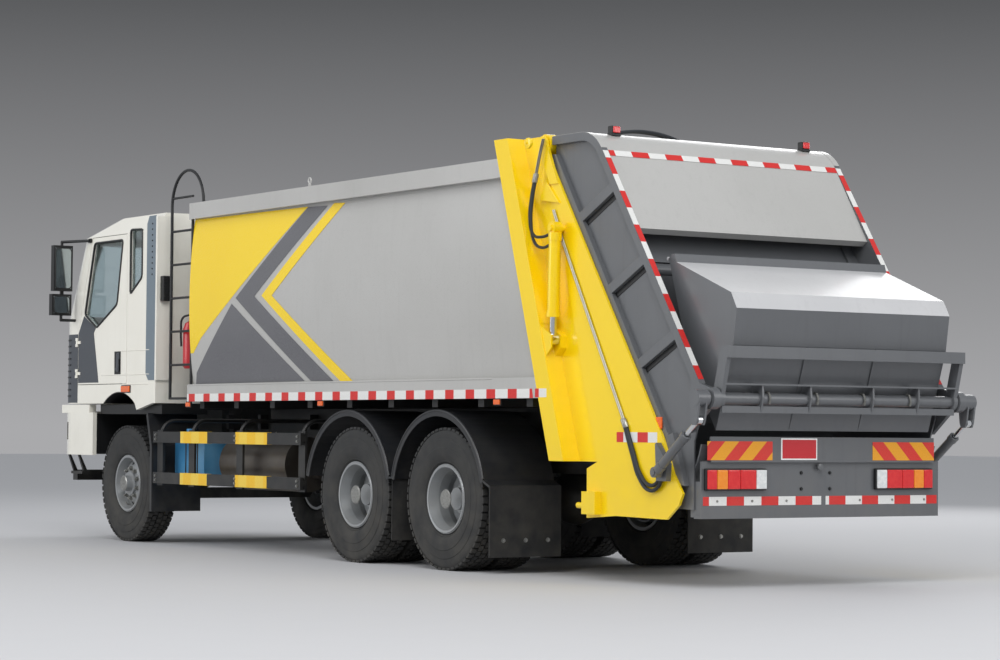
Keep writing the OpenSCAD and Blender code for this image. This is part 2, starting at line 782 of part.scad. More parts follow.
module mirrors() {
    mx = fa + 950;
    y0 = cab_y + 50;
    color("black") both() {
        block(mx, mx + 70, y0, y0 + 195, 2375, 2815);
        block(mx, mx + 70, y0 + 8, y0 + 210, 2140, 2345);
        block(mx + 25, mx + 50, y0 + 80, y0 + 110, 2340, 2380);
        bent_bar([[mx + 35, y0 + 100, 2805], [mx + 35, y0 + 100, 2850], [fa + 645, cab_y + 16, 2850]], 14);
        block(fa + 620, fa + 668, cab_y + seat, cab_y + 20, 2830, 2870);
        bent_bar([[mx + 35, y0 + 100, 2150], [mx + 35, y0 + 100, 2095], [mx + 35, cab_y + seat, 2095]], 14);
    }
}

// Upright strips behind the doors that close the gap to the load body
module cab_fairings() {
    color("slategray") both()
        block(cab_rear - 30, cab_rear - seat, cab_y - 150, cab_y + 12, 1500, 3000);
}

// Door with the middle knuckles of its two hinges
module door() {
    difference() {
        union() {
            slab_y(door_outline(0), cab_y - cab_wall, cab_y);
            for (z = door_hinge_z) {
                block(hinge_line_x - 60, hinge_line_x, cab_y - 1, cab_y + 10, z - 14, z + 14);
                translate([hinge_line_x, hinge_line_y, z - 14]) cylinder(r = 12, h = 28);
            }
        }
        slab_y(door_window, cab_y - cab_wall - 1, cab_y + 1);
        for (z = door_hinge_z) translate([hinge_line_x, hinge_line_y, z - 15]) cylinder(r = 6 + fit, h = 30);
    }
}

// The cab's knuckles of the left door's hinges, with their pins
module door_hinge_posts() {
    for (z = door_hinge_z) {
        for (z0 = [z - 42, z + 15]) {
            block(hinge_line_x, hinge_line_x + 50, cab_y - 1, cab_y + 10, z0, z0 + 27);
            translate([hinge_line_x, hinge_line_y, z0]) cylinder(r = 12, h = 27);
        }
        translate([hinge_line_x, hinge_line_y, z - 42]) cylinder(r = 6, h = 84);
    }
}

module door_glass() {
    slab_y(inset(door_window, seat), cab_y - cab_wall / 2 - glass_t / 2,
        cab_y - cab_wall / 2 + glass_t / 2);
}

module left_door() { color("ivory") door(); }
module right_door() { color("ivory") mirror([0, 1, 0]) door(); }
module left_door_glass() { color("lightblue", 0.5) door_glass(); }
module right_door_glass() { color("lightblue", 0.5) mirror([0, 1, 0]) door_glass(); }

// ---- Wheels ----

module knuckle() {
    color("dimgray") {
        translate([fa, kingpin_y, axle_z - 105]) cylinder(d = kingpin_d, h = 210);
        for (z = [axle_z - 105, axle_z + 60 + play])
            translate([fa, kingpin_y, z]) {
                cylinder(r = 42, h = 105 - 60 - play);
                translate([-35, 0, 0]) cube([70, 75, 105 - 60 - play]);
            }
        block(fa - 50, fa + 50, kingpin_y + 55, kingpin_y + 80, axle_z - 105, axle_z + 105);
        bar_y(spindle_r, kingpin_y + 79, kingpin_y + 170, fa, axle_z);
        slab_y([[fa - 20, axle_z - 100], [fa + 20, axle_z - 100], [fa - 150, axle_z - 66],
            [fa - 190, axle_z - 76]], kingpin_y - 20, kingpin_y + 10);
    }
}

module left_knuckle() { knuckle(); }
module right_knuckle() { mirror([0, 1, 0]) knuckle(); }

// Half section of a tyre as [radius, offset]: bead, flank, shoulder, tread
function tyre_section() = let (w = tyre_w / 2, r = tyre_d / 2, b = rim_r + seat) concat(
    [[b, -w + 48], [b + 14, -w + 46], [b + 26, -w + 24]],
    [for (a = [-50:20:50]) [rim_r + (r - rim_r) * (0.48 + 0.30 * sin(a)), -w + 24 - 24 * cos(a)]],
    [[r - 26, -w + 12], [r - 6, -w + 26], [r, -w + 60], [r, w - 60], [r - 6, w - 26], [r - 26, w - 12]],
    [for (a = [50:-20:-50]) [rim_r + (r - rim_r) * (0.48 + 0.30 * sin(a)), w - 24 + 24 * cos(a)]],
    [[b + 26, w - 24], [b + 14, w - 46], [b, w - 48]]);

module tyre(x, y) {
    color("black") translate([x, y, axle_z]) rotate([90, 0, 0])
        rotate_extrude($fn = 96) polygon(tyre_section());
}

// Steel rim whose disc lies at offset d and meets the barrel at radius edge
module rim(x, y, d, edge, s) {
    w = tyre_w / 2 - 30;
    translate([x, y, axle_z]) rotate([90 * s, 0, 0]) difference() {
        rotate_extrude($fn = 96) {
            polygon([[rim_r - 14, -w], [rim_r + 12, -w], [rim_r + 12, -w + 10], [rim_r, -w + 14],
                [rim_r, -w + 34], [rim_r - 22, -30], [rim_r - 22, 30], [rim_r, w - 34],
                [rim_r, w - 14], [rim_r + 12, w - 10], [rim_r + 12, w], [rim_r - 14, w],
                [rim_r - 34, 40], [rim_r - 34, -40]]);
            polygon([[spindle_r + fit, d - 14], [150, d - 14], [edge - 16, d - 75], [edge, d - 75],
                [edge, d - 50], [160, d], [spindle_r + fit, d]]);
        }
        for (a = [18 : 36 : 342]) rotate(a) translate([rim_r - 64, 0, d - 90])
            cylinder(d = hand_hole, h = 100);
    }
}

module front_rim() {
    color("silver") {
        rim(fa, front_wheel_y, 80, rim_r - 24, -1);
        translate([fa, kingpin_y + 182, axle_z]) rotate([-90, 0, 0]) hub(110, 40);
    }
}

// Hub with a closed cap, its bore open towards the vehicle
module hub(r, h) {
    difference() {
        union() {
            translate([0, 0, -70]) cylinder(r = r, h = h + 30);
            translate([0, 0, h - 41]) cylinder(r = r * 0.66, h = 60);
        }
        translate([0, 0, -71]) cylinder(r = spindle_r + fit, h = 62);
    }
}

// Two rims back to back on one hub with its brake drum
module twin_rims(x) {
    mid = (outer_wheel_y + inner_wheel_y) / 2;
    color("gray") {
        rim(x, outer_wheel_y, outer_wheel_y - mid - seat / 2, rim_r - 12, 1);
        rim(x, inner_wheel_y, mid - inner_wheel_y - seat / 2, rim_r - 12, -1);
        difference() {
            union() {
                bar_y(120, mid - 40, outer_wheel_y - 40, x, axle_z);
                bar_y(85, outer_wheel_y - 41, outer_wheel_y + 20, x, axle_z);
                bar_y(198, inner_wheel_y - 100, mid - 60, x, axle_z);
                bar_y(120, mid - 61, mid - 39, x, axle_z);
            }
            bar_y(spindle_r + fit, inner_wheel_y - 101, outer_wheel_y - 19, x, axle_z);
            bar_y(185, inner_wheel_y - 101, mid - 85, x, axle_z);
        }
    }
}

module twin_tyres(x) {
    tyre(x, outer_wheel_y);
    tyre(x, inner_wheel_y);
}

module left_front_tyre() { tyre(fa, front_wheel_y); }
module right_front_tyre() { mirror([0, 1, 0]) tyre(fa, front_wheel_y); }
module left_front_rim() { front_rim(); }
module right_front_rim() { mirror([0, 1, 0]) front_rim(); }
module left_mid_tyres() { twin_tyres(ma); }
module right_mid_tyres() { mirror([0, 1, 0]) twin_tyres(ma); }
module left_mid_rims() { twin_rims(ma); }
module right_mid_rims() { mirror([0, 1, 0]) twin_rims(ma); }
module left_rear_tyres() { twin_tyres(ra); }
module right_rear_tyres() { mirror([0, 1, 0]) twin_tyres(ra); }
module left_rear_rims() { twin_rims(ra); }
module right_rear_rims() { mirror([0, 1, 0]) twin_rims(ra); }

// ---- Tailgate ----

// Yellow side frames with the lower cheeks and the hinge eyes
module filler_frames() {
    y0 = hop_y + sheet_t + rib_h;
    edge = 12;
    color("gold") both() {
        hinge_arm();
        difference() {
        union() {
            slab_y([[seam(hinge_z - 130) - edge, hinge_z - 130], [wall_front_top[0] + 30, hinge_z - 40],
                [ra - 2592 - 20, 1028], [ra - 2737, 780], [ra - 2842, 647], [ra - 2798, 568],
                [ra - 2665, 469], [ra - 2076, 476], [ra - 1727, 451], [ra - 1727, 800],
                [seam(850) - edge, 850]], y0, frame_out);
            lift_lug(y0);
            cheek_latch(y0);
        }
        bar_y(75 + play, y0 - 1, frame_out + 1, hinge_x, hinge_z);
        bar_y(tip_boss_r + seat, y0 - 1, frame_out + 1, tip_foot[0], tip_foot[1]);
        }
    }
}

// Arm beside the rear frame's ear, with the pin that turns in it
module hinge_arm() {
    y = post_recess_y + play;
    low = hinge_z - 300;
    bar_y(60, y, y + 20, hinge_x, hinge_z);
    slab_y([[hinge_x + 50, hinge_z - 30], [hinge_x - 58, hinge_z], [seam(low) - 112, low],
        [seam(low) - 14, low]], y, y + 20);
    bar_y(hinge_d / 2, portal_in + 4, y + 1, hinge_x, hinge_z);
}

// Triangular plate and pin that carry the top of a lift cylinder
module lift_lug(y0) {
    slab_y([[lift_top[0] + 80, lift_top[1] + 190], [lift_top[0] - 130, lift_top[1] - 60],
        [lift_top[0] + 60, lift_top[1] - 60]], y0, frame_out);
    bar_y(pin_r, y0, body_y - 3, lift_top[0], lift_top[1]);
}

// Screw clamp at the foot of the cheek
module cheek_latch(y0) {
    block(ra - 1900, ra - 1740, frame_out - 1, frame_out + 55, 480, 640);
    bar_x(22, ra - 1741, ra - 1660, frame_out + 25, 540);
}

// Grey side walls with stiffeners, the shaft's bearing lugs and the tip cylinders' brackets
module filler_walls() {
    y1 = hop_y + sheet_t;
    rim_w = 60;
    lug_y = hop_y + sheet_t + rib_h;
    arc_c = [ra - 1601, hopper_top - 300];
    outline = concat([[roof_x, hopper_top], [roof_x, hopper_top - 130]],
        [wall_front_top, [seam(1500) - 30, 1500], [seam(1028) - 30, 1028], [ra - 2140, 560],
        [ra - 2890, 540], [ra - 2890, 1000], [ra - 2960, 1180], [ra - 2960, 1390],
        [wall_back(1390), 1390]], back(arc(arc_c, 300, 90, 145.6, 10)));
    color("dimgray") both() difference() {
        union() {
            slab_y(outline, hop_y, y1);
            // flange along the rear edge and the roof's rim
            slab_y(concat([[wall_back(1390), 1390], [wall_back(1390) + rim_w * 1.3, 1390]],
                back(arc(arc_c, 300 - rim_w, 90, 145.6, 10)), [[roof_x, hopper_top - rim_w],
                [roof_x, hopper_top]], arc(arc_c, 300, 90, 145.6, 10)), y1 - 1, lug_y);
            // rail beside the yellow frame
            slab_y([wall_front_top, wall_front_top - [70, 0], [ra - 2662, 1028], [ra - 2592, 1028]],
                y1 - 1, lug_y - 2);
            for (s = [420, 1060, 1700]) wall_rib(s, y1 - 1, lug_y - 4);
            bearing_lug(lug_y);
            tip_bracket(lug_y);
        }
        bar_y(shaft_r + fit, -10, lug_y + 100, shaft_x, shaft_z);
    }
}

// Stiffener across a side wall, s along its slope from the top
module wall_rib(s, y0, y1) {
    d = [-wall_lean, -1] / norm([wall_lean, 1]);
    a = wall_front_top + d * (s + 130) + [-40, 0];
    b = wall_back_top + d * (s - 190) + [40, 0];
    w = d * 50;
    slab_y([a, b, b + w, a + w], y0, y1);
}

module bearing_lug(y0) {
    slab_y([[ra - 2900, 1420], [wall_back(1390), 1390], [shaft_x - 30, shaft_z + 60],
        [shaft_x - 60, shaft_z - 30], [shaft_x + 30, shaft_z - 70], [ra - 2900, 1060]], y0 - 30, y0);
    bar_y(75, y0 - 30, y0 + 32, shaft_x, shaft_z);
}

module tip_bracket(y0) {
    slab_y([[tip_foot[0] + 60, tip_foot[1] + 200], [tip_foot[0] + 75, tip_foot[1] + 190],
        [tip_foot[0] + 60, tip_foot[1] - 60], [tip_foot[0] - 50, tip_foot[1] - 60],
        [tip_foot[0] - 60, tip_foot[1] + 60]], frame_out + seat, tip_y - tip_barrel_d / 2 - play);
    slab_y([[ra - 2842, 700], [ra - 2620, 730], [ra - 2592 - 30, 1028], [ra - 2700, 1060]], y0 - 39, y0);
    bar_y(tip_boss_r, y0 - 2, frame_out + 1, tip_foot[0], tip_foot[1]);
    bar_y(pin_r, y0 - 2, tip_y + 36, tip_foot[0], tip_foot[1]);
}

module filler_roof() {
    c = [ra - 1601, hopper_top - 300];
    y = hop_y - seat;
    foot = [ra - 2220, 2490];
    d = [-wall_lean, -1] / norm([wall_lean, 1]);
    n = [-d[1], d[0]];
    color("silver") {
        slab_y(concat([[roof_x, hopper_top]], arc(c, 300, 90, 145.6, 10), [foot, foot + n * sheet_t],
            back(arc(c, 300 - sheet_t, 90, 145.6, 10)), [[roof_x, hopper_top - sheet_t]]), -y, y);
        slab_y([foot - d * 2, foot - d * 2 + n * 60, foot + n * 60 + d * sheet_t, foot + d * sheet_t], -y, y);
    }
}

module hopper_floor() {
    y = hop_y - seat;
    lip = [seam(1440) - 20, 1440];
    color("dimgray") slab_y(concat(arc(trough_c, trough_r, 195, 360, 24), [lip, lip - [sheet_t, 0]],
        back(arc(trough_c, trough_r - sheet_t, 195, 360, 24))), -y, y);
}

module rear_board() {
    color("dimgray") {
        block(board_back, board_back + 20, -1000, 1000, 868, 1035);
        block(ra - 2975, ra - 2960, -1065, 1065, 482, 868);
        block(ra - 2961, ra - 2895, -1065, 1065, 482, 500);
        block(board_back, ra - 2922, -1000, 1000, 862, 874);
        both() block(ra - 2961, ra - 2840, hop_y - 60, hop_y - seat, 490, 730);
    }
}

// A route moved sideways by g, in the plane of x and z
function beside(p, g) = [for (i = [0:len(p) - 1])
    let (d = p[min(i + 1, len(p) - 1)] - p[max(i - 1, 0)]) p[i] + g * [d[2], 0, -d[0]] / norm([d[0], 0, d[2]])];

// Pressure pipes and hoses down both sides of the tailgate
module hydraulic_lines() {
    y = frame_out + 9 + seat;
    route = [[ra - 1400, y, 2440], [ra - 2060, y, 1213], [ra - 2155, y, 1050], [ra - 2250, y + 3, 890],
        [ra - 2345, y + 8, 745], [ra - 2440, y + 13, 660], [ra - 2515, y + 14, 650],
        [ra - 2558, y + 14, 700]];
    color("silver") both() for (g = [0, 28]) hose(beside(route, g), 9);
}

// Packing plate that slides down inside the tailgate
module packer_slide() {
    d = [-wall_lean, -1] / norm([wall_lean, 1]);
    n = [-d[1], d[0]];
    a = [ra - 1690, 2840];
    b = a + d * 780;
    y = hop_y - seat;
    color("slategray") difference() {
        union() {
            slab_y([a - n * 50, a + n * 50, b + n * 50, b - n * 50], -y + 60, y - 60);
            both() slab_y([a - n * 70, a + n * 70, b - d * 60 + n * 70, b - d * 60 - n * 70], y - 90, y);
            both() bar_y(70, 920, y - 60, b[0], b[1]);
        }
        bar_y(62, -906, 906, b[0], b[1]);
        bar_y(25 + fit, -y, y, b[0], b[1]);
    }
}

// Blade on the packing plate's lower edge, which sweeps the trough
module sweep_blade() {
    d = [-wall_lean, -1] / norm([wall_lean, 1]);
    b = [ra - 1690, 2840] + d * 780;
    color("slategray") {
        bar_y(52, -900, 900, b[0], b[1]);
        bar_y(25, -985, 985, b[0], b[1]);
        slab_y([b + [-45, 0], b + [45, 0], b + [70, -440], b + [40, -450]], -890, 890);
    }
}

// ---- Bucket ----

bucket_outline = [[ra - 2456, 2264], [ra - 3147, 2001], [ra - 3208, 1894], [ra - 3172, 1649],
    [ra - 2990, 1077]];

// Point on the bucket's lower rear wall at height z
function bucket_back(z) = ra - 2990 - (z - 1077) * 182 / 572;

module tipping_bucket() {
    half = bucket_w / 2;
    p = bucket_outline;
    t = bucket_t;
    inside = [p[0] + [t, -t * 1.1], p[1] + [t, -t * 1.1], p[2] + [t * 1.1, 0], p[3] + [t * 1.05, 0],
        p[4] + [t * 1.05, 0]];
    color("dimgray") {
        slab_y(concat(p, back(inside)), -half, half);
        both() slab_y(concat(p, [[ra - 2700, 1500]]), half - t, half);
        slab_y([p[0] - [0, 4], p[0] + [-30, 26], p[0] + [-70, 26], p[0] - [90, 38]], -half, half);
        for (y = [-320, 300]) slab_y([p[3] - [14, 0], p[3], p[4], p[4] - [14, -30]], y, y + 26);
    }
}

// Shaft with its cranks, and the lifting frame that carries the bucket
module bucket_frame() {
    half = hop_y + sheet_t - 2;
    top_x = shaft_x - frame_back;
    color("dimgray") difference() {
        union() {
            bar_y(shaft_r, -body_y + 5, body_y - 5, shaft_x, shaft_z);
            block(top_x, top_x + 48, -half, half, 1560, 1640);
            block(top_x, bucket_back(1640) - 8 - 60, -half, half, 1628, 1640);
            block(shaft_x - 70, shaft_x - 20, -half + 20, half - 20, 1380, 1392);
            block(shaft_x - 40, shaft_x - 28, -half + 20, half - 20, 1195, 1240);
            for (y = [-700, -280, 280, 700])
                slab_y([[shaft_x - 55, 1391], [shaft_x - 62, 1300], [shaft_x - 40, 1200],
                    [bucket_back(1200) - seat, 1200], [bucket_back(1391) - seat, 1391]], y, y + 14);
            both() {
                slab_y([[shaft_x - 45, shaft_z], [top_x, 1640], [top_x + 85, 1640],
                    [shaft_x + 45, shaft_z]], half - 35, half);
                bar_y(62, half - 35, half, shaft_x, shaft_z);
                crank();
            }
        }
    }
}

// Arms on the shaft's end that take the eye of a bucket rod
module crank() {
    bar_y(56, tip_y - 60, body_y - 5, shaft_x, shaft_z);
    for (y = [tip_y - 38, tip_y + 24])
        slab_y([[shaft_x - 52, shaft_z], [tip_eye[0] - 34, tip_eye[1]], [tip_eye[0] - 20, tip_eye[1] - 34],
            [tip_eye[0] + 20, tip_eye[1] - 34], [tip_eye[0] + 34, tip_eye[1]], [shaft_x + 52, shaft_z]],
            y, y + 14);
}

// ---- Cylinders ----

// Barrel with a bored eye at a, pointing to b, as long as len
module barrel(a, b, y, r, len, eye_r, eye_w) {
    tilt = atan2(b[0] - a[0], b[1] - a[1]);
    difference() {
        union() {
            translate([a[0], y, a[1]]) rotate([0, tilt, 0]) {
                translate([0, 0, eye_r * 0.7]) cylinder(r = r, h = len - eye_r * 0.7);
                translate([0, 0, len - 40]) cylinder(r = r + 5, h = 40);
                translate([0, 0, eye_r * 0.7]) cylinder(r = r + 4, h = 60);
            }
            bar_y(eye_r, y - eye_w / 2, y + eye_w / 2, a[0], a[1]);
        }
        bar_y(pin_r + fit, y - r - 20, y + r + 20, a[0], a[1]);
        translate([a[0], y, a[1]]) rotate([0, tilt, 0]) translate([0, 0, eye_r + 20])
            cylinder(r = r - 10, h = len);
    }
}

// Rod that slides in the barrel, with a solid eye at b
module piston_rod(a, b, y, rod_r, bore_r, start, eye_r, eye_w) {
    tilt = atan2(b[0] - a[0], b[1] - a[1]);
    full = norm(b - a);
    translate([a[0], y, a[1]]) rotate([0, tilt, 0]) {
        translate([0, 0, start]) cylinder(r = rod_r, h = full - start);
        translate([0, 0, start]) cylinder(r = bore_r - seat, h = 40);
    }
    bar_y(eye_r, y - eye_w / 2, y + eye_w / 2, b[0], b[1]);
}

lift_len = 640;
tip_len = 420;

module lift_barrels() {
    color("gold") both() barrel(lift_top, lift_foot, lift_y, lift_barrel_d / 2 - 4, lift_len, 46, 70);
}

module lift_rods() {
    color("silver") both() piston_rod(lift_top, lift_foot, lift_y, lift_rod_d / 2,
        lift_barrel_d / 2 - 14, 80, 42, 56);
}

module bucket_barrels() {
    color("dimgray") both() barrel(tip_foot, tip_eye, tip_y, tip_barrel_d / 2 - 4, tip_len, 36, 56);
}

module bucket_rods() {
    color("silver") both() piston_rod(tip_foot, tip_eye, tip_y, tip_rod_d / 2,
        tip_barrel_d / 2 - 14, 130, 30, 36);
}

frame_rails();
front_axle();
drive_axles();
leaf_springs();
powertrain();
fuel_tank();
urea_tank();
exhaust_muffler();
front_bumper();
front_steps();
side_guards();
mudguards();
mud_flaps();
box_sides();
box_roof();
box_floor();
box_front_wall();
box_rear_frame();
access_ladder();
ejector_panel();
cab_shell();
front_panel();
cab_glass();
cab_controls();
seats();
mirrors();
cab_fairings();
left_door();
left_door_glass();
right_door();
right_door_glass();
left_knuckle();
right_knuckle();
left_front_tyre();
left_front_rim();
right_front_tyre();
right_front_rim();
left_mid_tyres();
left_mid_rims();
right_mid_tyres();
right_mid_rims();
left_rear_tyres();
left_rear_rims();
right_rear_tyres();
right_rear_rims();
filler_frames();
filler_walls();
filler_roof();
hopper_floor();
rear_board();
hydraulic_lines();
packer_slide();
sweep_blade();
tipping_bucket();
bucket_frame();
lift_barrels();
lift_rods();
bucket_barrels();
bucket_rods();
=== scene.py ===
"""Looks of a rear-loading refuse compactor truck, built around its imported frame.

Lengths are in metres and colours are sRGB hex values. Each sub-assembly is a class: its fields are
sizes, its methods model pieces on a bench of Blender operators and dress them in finishes.
"""
import json
import logging
import math
from dataclasses import dataclass, field
from enum import Enum
from typing import Callable, Iterable, Sequence

import bmesh
import bpy
from mathutils import Matrix, Vector


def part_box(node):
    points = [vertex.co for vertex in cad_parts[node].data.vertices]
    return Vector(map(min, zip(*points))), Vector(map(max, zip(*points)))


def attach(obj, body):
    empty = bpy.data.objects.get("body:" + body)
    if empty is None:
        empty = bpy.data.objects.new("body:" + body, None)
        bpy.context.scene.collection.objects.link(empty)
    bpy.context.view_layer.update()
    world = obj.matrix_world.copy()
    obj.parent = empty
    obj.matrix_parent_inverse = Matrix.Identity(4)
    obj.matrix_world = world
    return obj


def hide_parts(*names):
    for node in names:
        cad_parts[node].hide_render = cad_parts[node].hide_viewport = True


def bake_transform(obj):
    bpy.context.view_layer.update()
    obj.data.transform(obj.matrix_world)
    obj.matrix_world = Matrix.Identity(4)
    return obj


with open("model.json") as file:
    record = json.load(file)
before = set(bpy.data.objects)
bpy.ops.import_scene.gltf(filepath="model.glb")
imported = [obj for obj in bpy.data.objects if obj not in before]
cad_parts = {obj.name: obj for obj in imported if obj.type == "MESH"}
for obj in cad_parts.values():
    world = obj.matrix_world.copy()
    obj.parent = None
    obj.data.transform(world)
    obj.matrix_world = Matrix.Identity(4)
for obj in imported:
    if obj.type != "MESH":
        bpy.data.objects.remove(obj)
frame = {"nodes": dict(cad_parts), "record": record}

LOG = logging.getLogger("refuse_truck")
Point = Sequence[float]
MM = 0.001
STREAK = "3B3A37"
DUST = "8C8577"


class Slot(Enum):
    """Material slots of the record, one for each kind of finish."""

    CHASSIS = "chassis_black"
    CAST = "cast_grey"
    ALLOY = "tank_alloy"
    BLUE = "tank_blue"
    HEAT = "heat_steel"
    WHITE = "cab_white"
    GUARD = "guard_black"
    ARCH = "guard_plastic"
    FLAP = "flap_rubber"
    SILVER = "body_silver"
    YELLOW = "body_yellow"
    GREY = "hopper_grey"
    GRILLE = "grille_plastic"
    WINDOW = "window_glass"
    DASH = "dash_plastic"
    SEAT = "seat_cloth"
    TYRE = "tyre_rubber"
    RIM = "rim_steel"
    CHROME = "rod_chrome"
    HOSE = "hose_line"


# ---- Finishes ----

def linear(hex_colour: str) -> tuple[float, float, float, float]:
    """Turns an sRGB hex colour into linear RGBA.

    Args:
        hex_colour: Six hex digits.

    Returns:
        The colour with an alpha of 1.
    """
    parts = [int(hex_colour[i:i + 2], 16) / 255 for i in (0, 2, 4)]
    return (*[c / 12.92 if c <= 0.04045 else ((c + 0.055) / 1.055) ** 2.4 for c in parts], 1.0)


def add(tree: bpy.types.NodeTree, kind: str, settings: dict | None = None,
        links: dict | None = None) -> bpy.types.Node:
    """Adds a shader node with its settings and links.

    Args:
        tree: Node tree of a material.
        kind: Node type without its ShaderNode prefix.
        settings: Property names, or socket names and indices, with their values.
        links: Input sockets with the output sockets that feed them.

    Returns:
        The new node.
    """
    node = tree.nodes.new("ShaderNode" + kind)
    for key, value in (settings or {}).items():
        if isinstance(key, str) and hasattr(node, key):
            setattr(node, key, value)
        else:
            node.inputs[key].default_value = value
    for key, source in (links or {}).items():
        tree.links.new(source, node.inputs[key])
    return node


@dataclass(frozen=True)
class Finish:
    """A surface with mottled colour, road dust, streaks and a fine grain.

    Attributes:
        name: What the real material is and how its surface was made.
        colour: Main colour.
        shade: Second colour that the mottle mixes in.
        rough: Mean roughness.
        metallic: 0 for paint and plastic, 1 for bare metal.
        mottle_mm: Size of the mottle's patches.
        mottle: Most of the second colour that a patch takes.
        grain_mm: Size of the bump's grain.
        grain: Strength of the bump.
        dust: Amount of road dust near the ground.
        dust_top: Height at which the dust has faded.
        streak: Amount of darker upright rain streaks.
        coat: Weight of a clear coat.
    """

    name: str
    colour: str
    shade: str
    rough: float = 0.4
    metallic: float = 0.0
    mottle_mm: float = 400
    mottle: float = 0.25
    grain_mm: float = 2.5
    grain: float = 0.08
    dust: float = 0.0
    dust_top: float = 1.4
    streak: float = 0.0
    coat: float = 0.0

    def tone(self, tree: bpy.types.NodeTree, place: bpy.types.NodeSocket) -> bpy.types.NodeSocket:
        """Mixes the two colours in soft patches.

        Args:
            tree: Node tree of the material.
            place: Object coordinates.

        Returns:
            The colour socket.
        """
        patches = add(tree, "TexNoise", {"Scale": 1 / (self.mottle_mm * MM), "Detail": 5.0}, {"Vector": place})
        amount = add(tree, "MapRange", {"From Min": 0.4, "From Max": 0.66, "To Max": self.mottle},
                     {"Value": patches.outputs["Fac"]})
        mix = add(tree, "Mix", {"data_type": "RGBA", 6: linear(self.colour), 7: linear(self.shade)},
                  {0: amount.outputs[0]})
        return mix.outputs[2]

    def soiled(self, tree: bpy.types.NodeTree, place: bpy.types.NodeSocket,
               colour: bpy.types.NodeSocket) -> bpy.types.NodeSocket:
        """Adds rain streaks and road dust to a colour.

        Args:
            tree: Node tree of the material.
            place: Object coordinates.
            colour: Clean colour.

        Returns:
            The soiled colour socket.
        """
        if self.streak:
            stretched = add(tree, "Mapping", {"Scale": (22.0, 22.0, 1.3)}, {"Vector": place})
            lines = add(tree, "TexNoise", {"Scale": 1.0, "Detail": 3.0}, {"Vector": stretched.outputs[0]})
            wet = add(tree, "MapRange", {"From Min": 0.55, "From Max": 0.75, "To Max": self.streak},
                      {"Value": lines.outputs["Fac"]})
            colour = add(tree, "Mix", {"data_type": "RGBA", 7: linear(STREAK)},
                         {0: wet.outputs[0], 6: colour}).outputs[2]
        if self.dust:
            height = add(tree, "SeparateXYZ", links={0: place})
            low = add(tree, "MapRange", {"From Min": self.dust_top, "From Max": 0.15, "To Max": self.dust},
                      {"Value": height.outputs["Z"]})
            clouds = add(tree, "TexNoise", {"Scale": 7.0, "Detail": 6.0}, {"Vector": place})
            spread = add(tree, "MapRange", {"From Min": 0.3, "From Max": 0.7}, {"Value": clouds.outputs["Fac"]})
            part = add(tree, "Math", {"operation": "MULTIPLY"}, {0: low.outputs[0], 1: spread.outputs[0]})
            colour = add(tree, "Mix", {"data_type": "RGBA", 7: linear(DUST)},
                         {0: part.outputs[0], 6: colour}).outputs[2]
        return colour

    def build(self) -> bpy.types.Material:
        """Makes the material.

        Returns:
            The material, named for the real one.
        """
        material = bpy.data.materials.new(self.name)
        material.use_nodes = True
        tree = material.node_tree
        shader = tree.nodes["Principled BSDF"]
        place = add(tree, "TexCoord").outputs["Object"]
        tree.links.new(self.soiled(tree, place, self.tone(tree, place)), shader.inputs["Base Color"])
        grain = add(tree, "TexNoise", {"Scale": 1 / (self.grain_mm * MM), "Detail": 3.0}, {"Vector": place})
        rough = add(tree, "MapRange", {"To Min": max(self.rough - 0.1, 0.03), "To Max": min(self.rough + 0.1, 1.0)},
                    {"Value": grain.outputs["Fac"]})
        bump = add(tree, "Bump", {"Strength": self.grain, "Distance": self.grain_mm * MM * 0.4},
                   {"Height": grain.outputs["Fac"]})
        tree.links.new(rough.outputs[0], shader.inputs["Roughness"])
        tree.links.new(bump.outputs[0], shader.inputs["Normal"])
        shader.inputs["Metallic"].default_value = self.metallic
        shader.inputs["Coat Weight"].default_value = self.coat
        shader.inputs["Coat Roughness"].default_value = 0.12
        return material


@dataclass(frozen=True)
class Banded(Finish):
    """A finish whose two colours alternate along a direction, as on reflective tape and warning boards.

    Attributes:
        along: Direction across the bands.
        pitch: Length of one pair of bands.
        share: Part of a pair that has the main colour.
        start: Place along the direction where a main band starts.
    """

    along: tuple[float, float, float] = (1.0, 0.0, 0.0)
    pitch: float = 0.3
    share: float = 0.5
    start: float = 0.0

    def tone(self, tree: bpy.types.NodeTree, place: bpy.types.NodeSocket) -> bpy.types.NodeSocket:
        """Alternates the two colours, with a faint honeycomb that reflects.

        Args:
            tree: Node tree of the material.
            place: Object coordinates.

        Returns:
            The colour socket.
        """
        size = math.sqrt(sum(c * c for c in self.along))
        along = tuple(c / size for c in self.along)
        reach = add(tree, "VectorMath", {"operation": "DOT_PRODUCT", 1: along}, {0: place})
        shifted = add(tree, "Math", {"operation": "SUBTRACT", 1: self.start}, {0: reach.outputs["Value"]})
        turns = add(tree, "Math", {"operation": "DIVIDE", 1: self.pitch}, {0: shifted.outputs[0]})
        part = add(tree, "Math", {"operation": "FLOORED_MODULO", 1: 1.0}, {0: turns.outputs[0]})
        second = add(tree, "Math", {"operation": "GREATER_THAN", 1: self.share}, {0: part.outputs[0]})
        mix = add(tree, "Mix", {"data_type": "RGBA", 6: linear(self.colour), 7: linear(self.shade)},
                  {0: second.outputs[0]})
        cells = add(tree, "TexVoronoi", {"Scale": 220.0}, {"Vector": place})
        faint = add(tree, "MapRange", {"To Min": 1.0, "To Max": 0.86}, {"Value": cells.outputs["Distance"]})
        shaded = add(tree, "Mix", {"data_type": "RGBA", "blend_type": "MULTIPLY", 0: 1.0},
                     {6: mix.outputs[2], 7: faint.outputs[0]})
        return shaded.outputs[2]


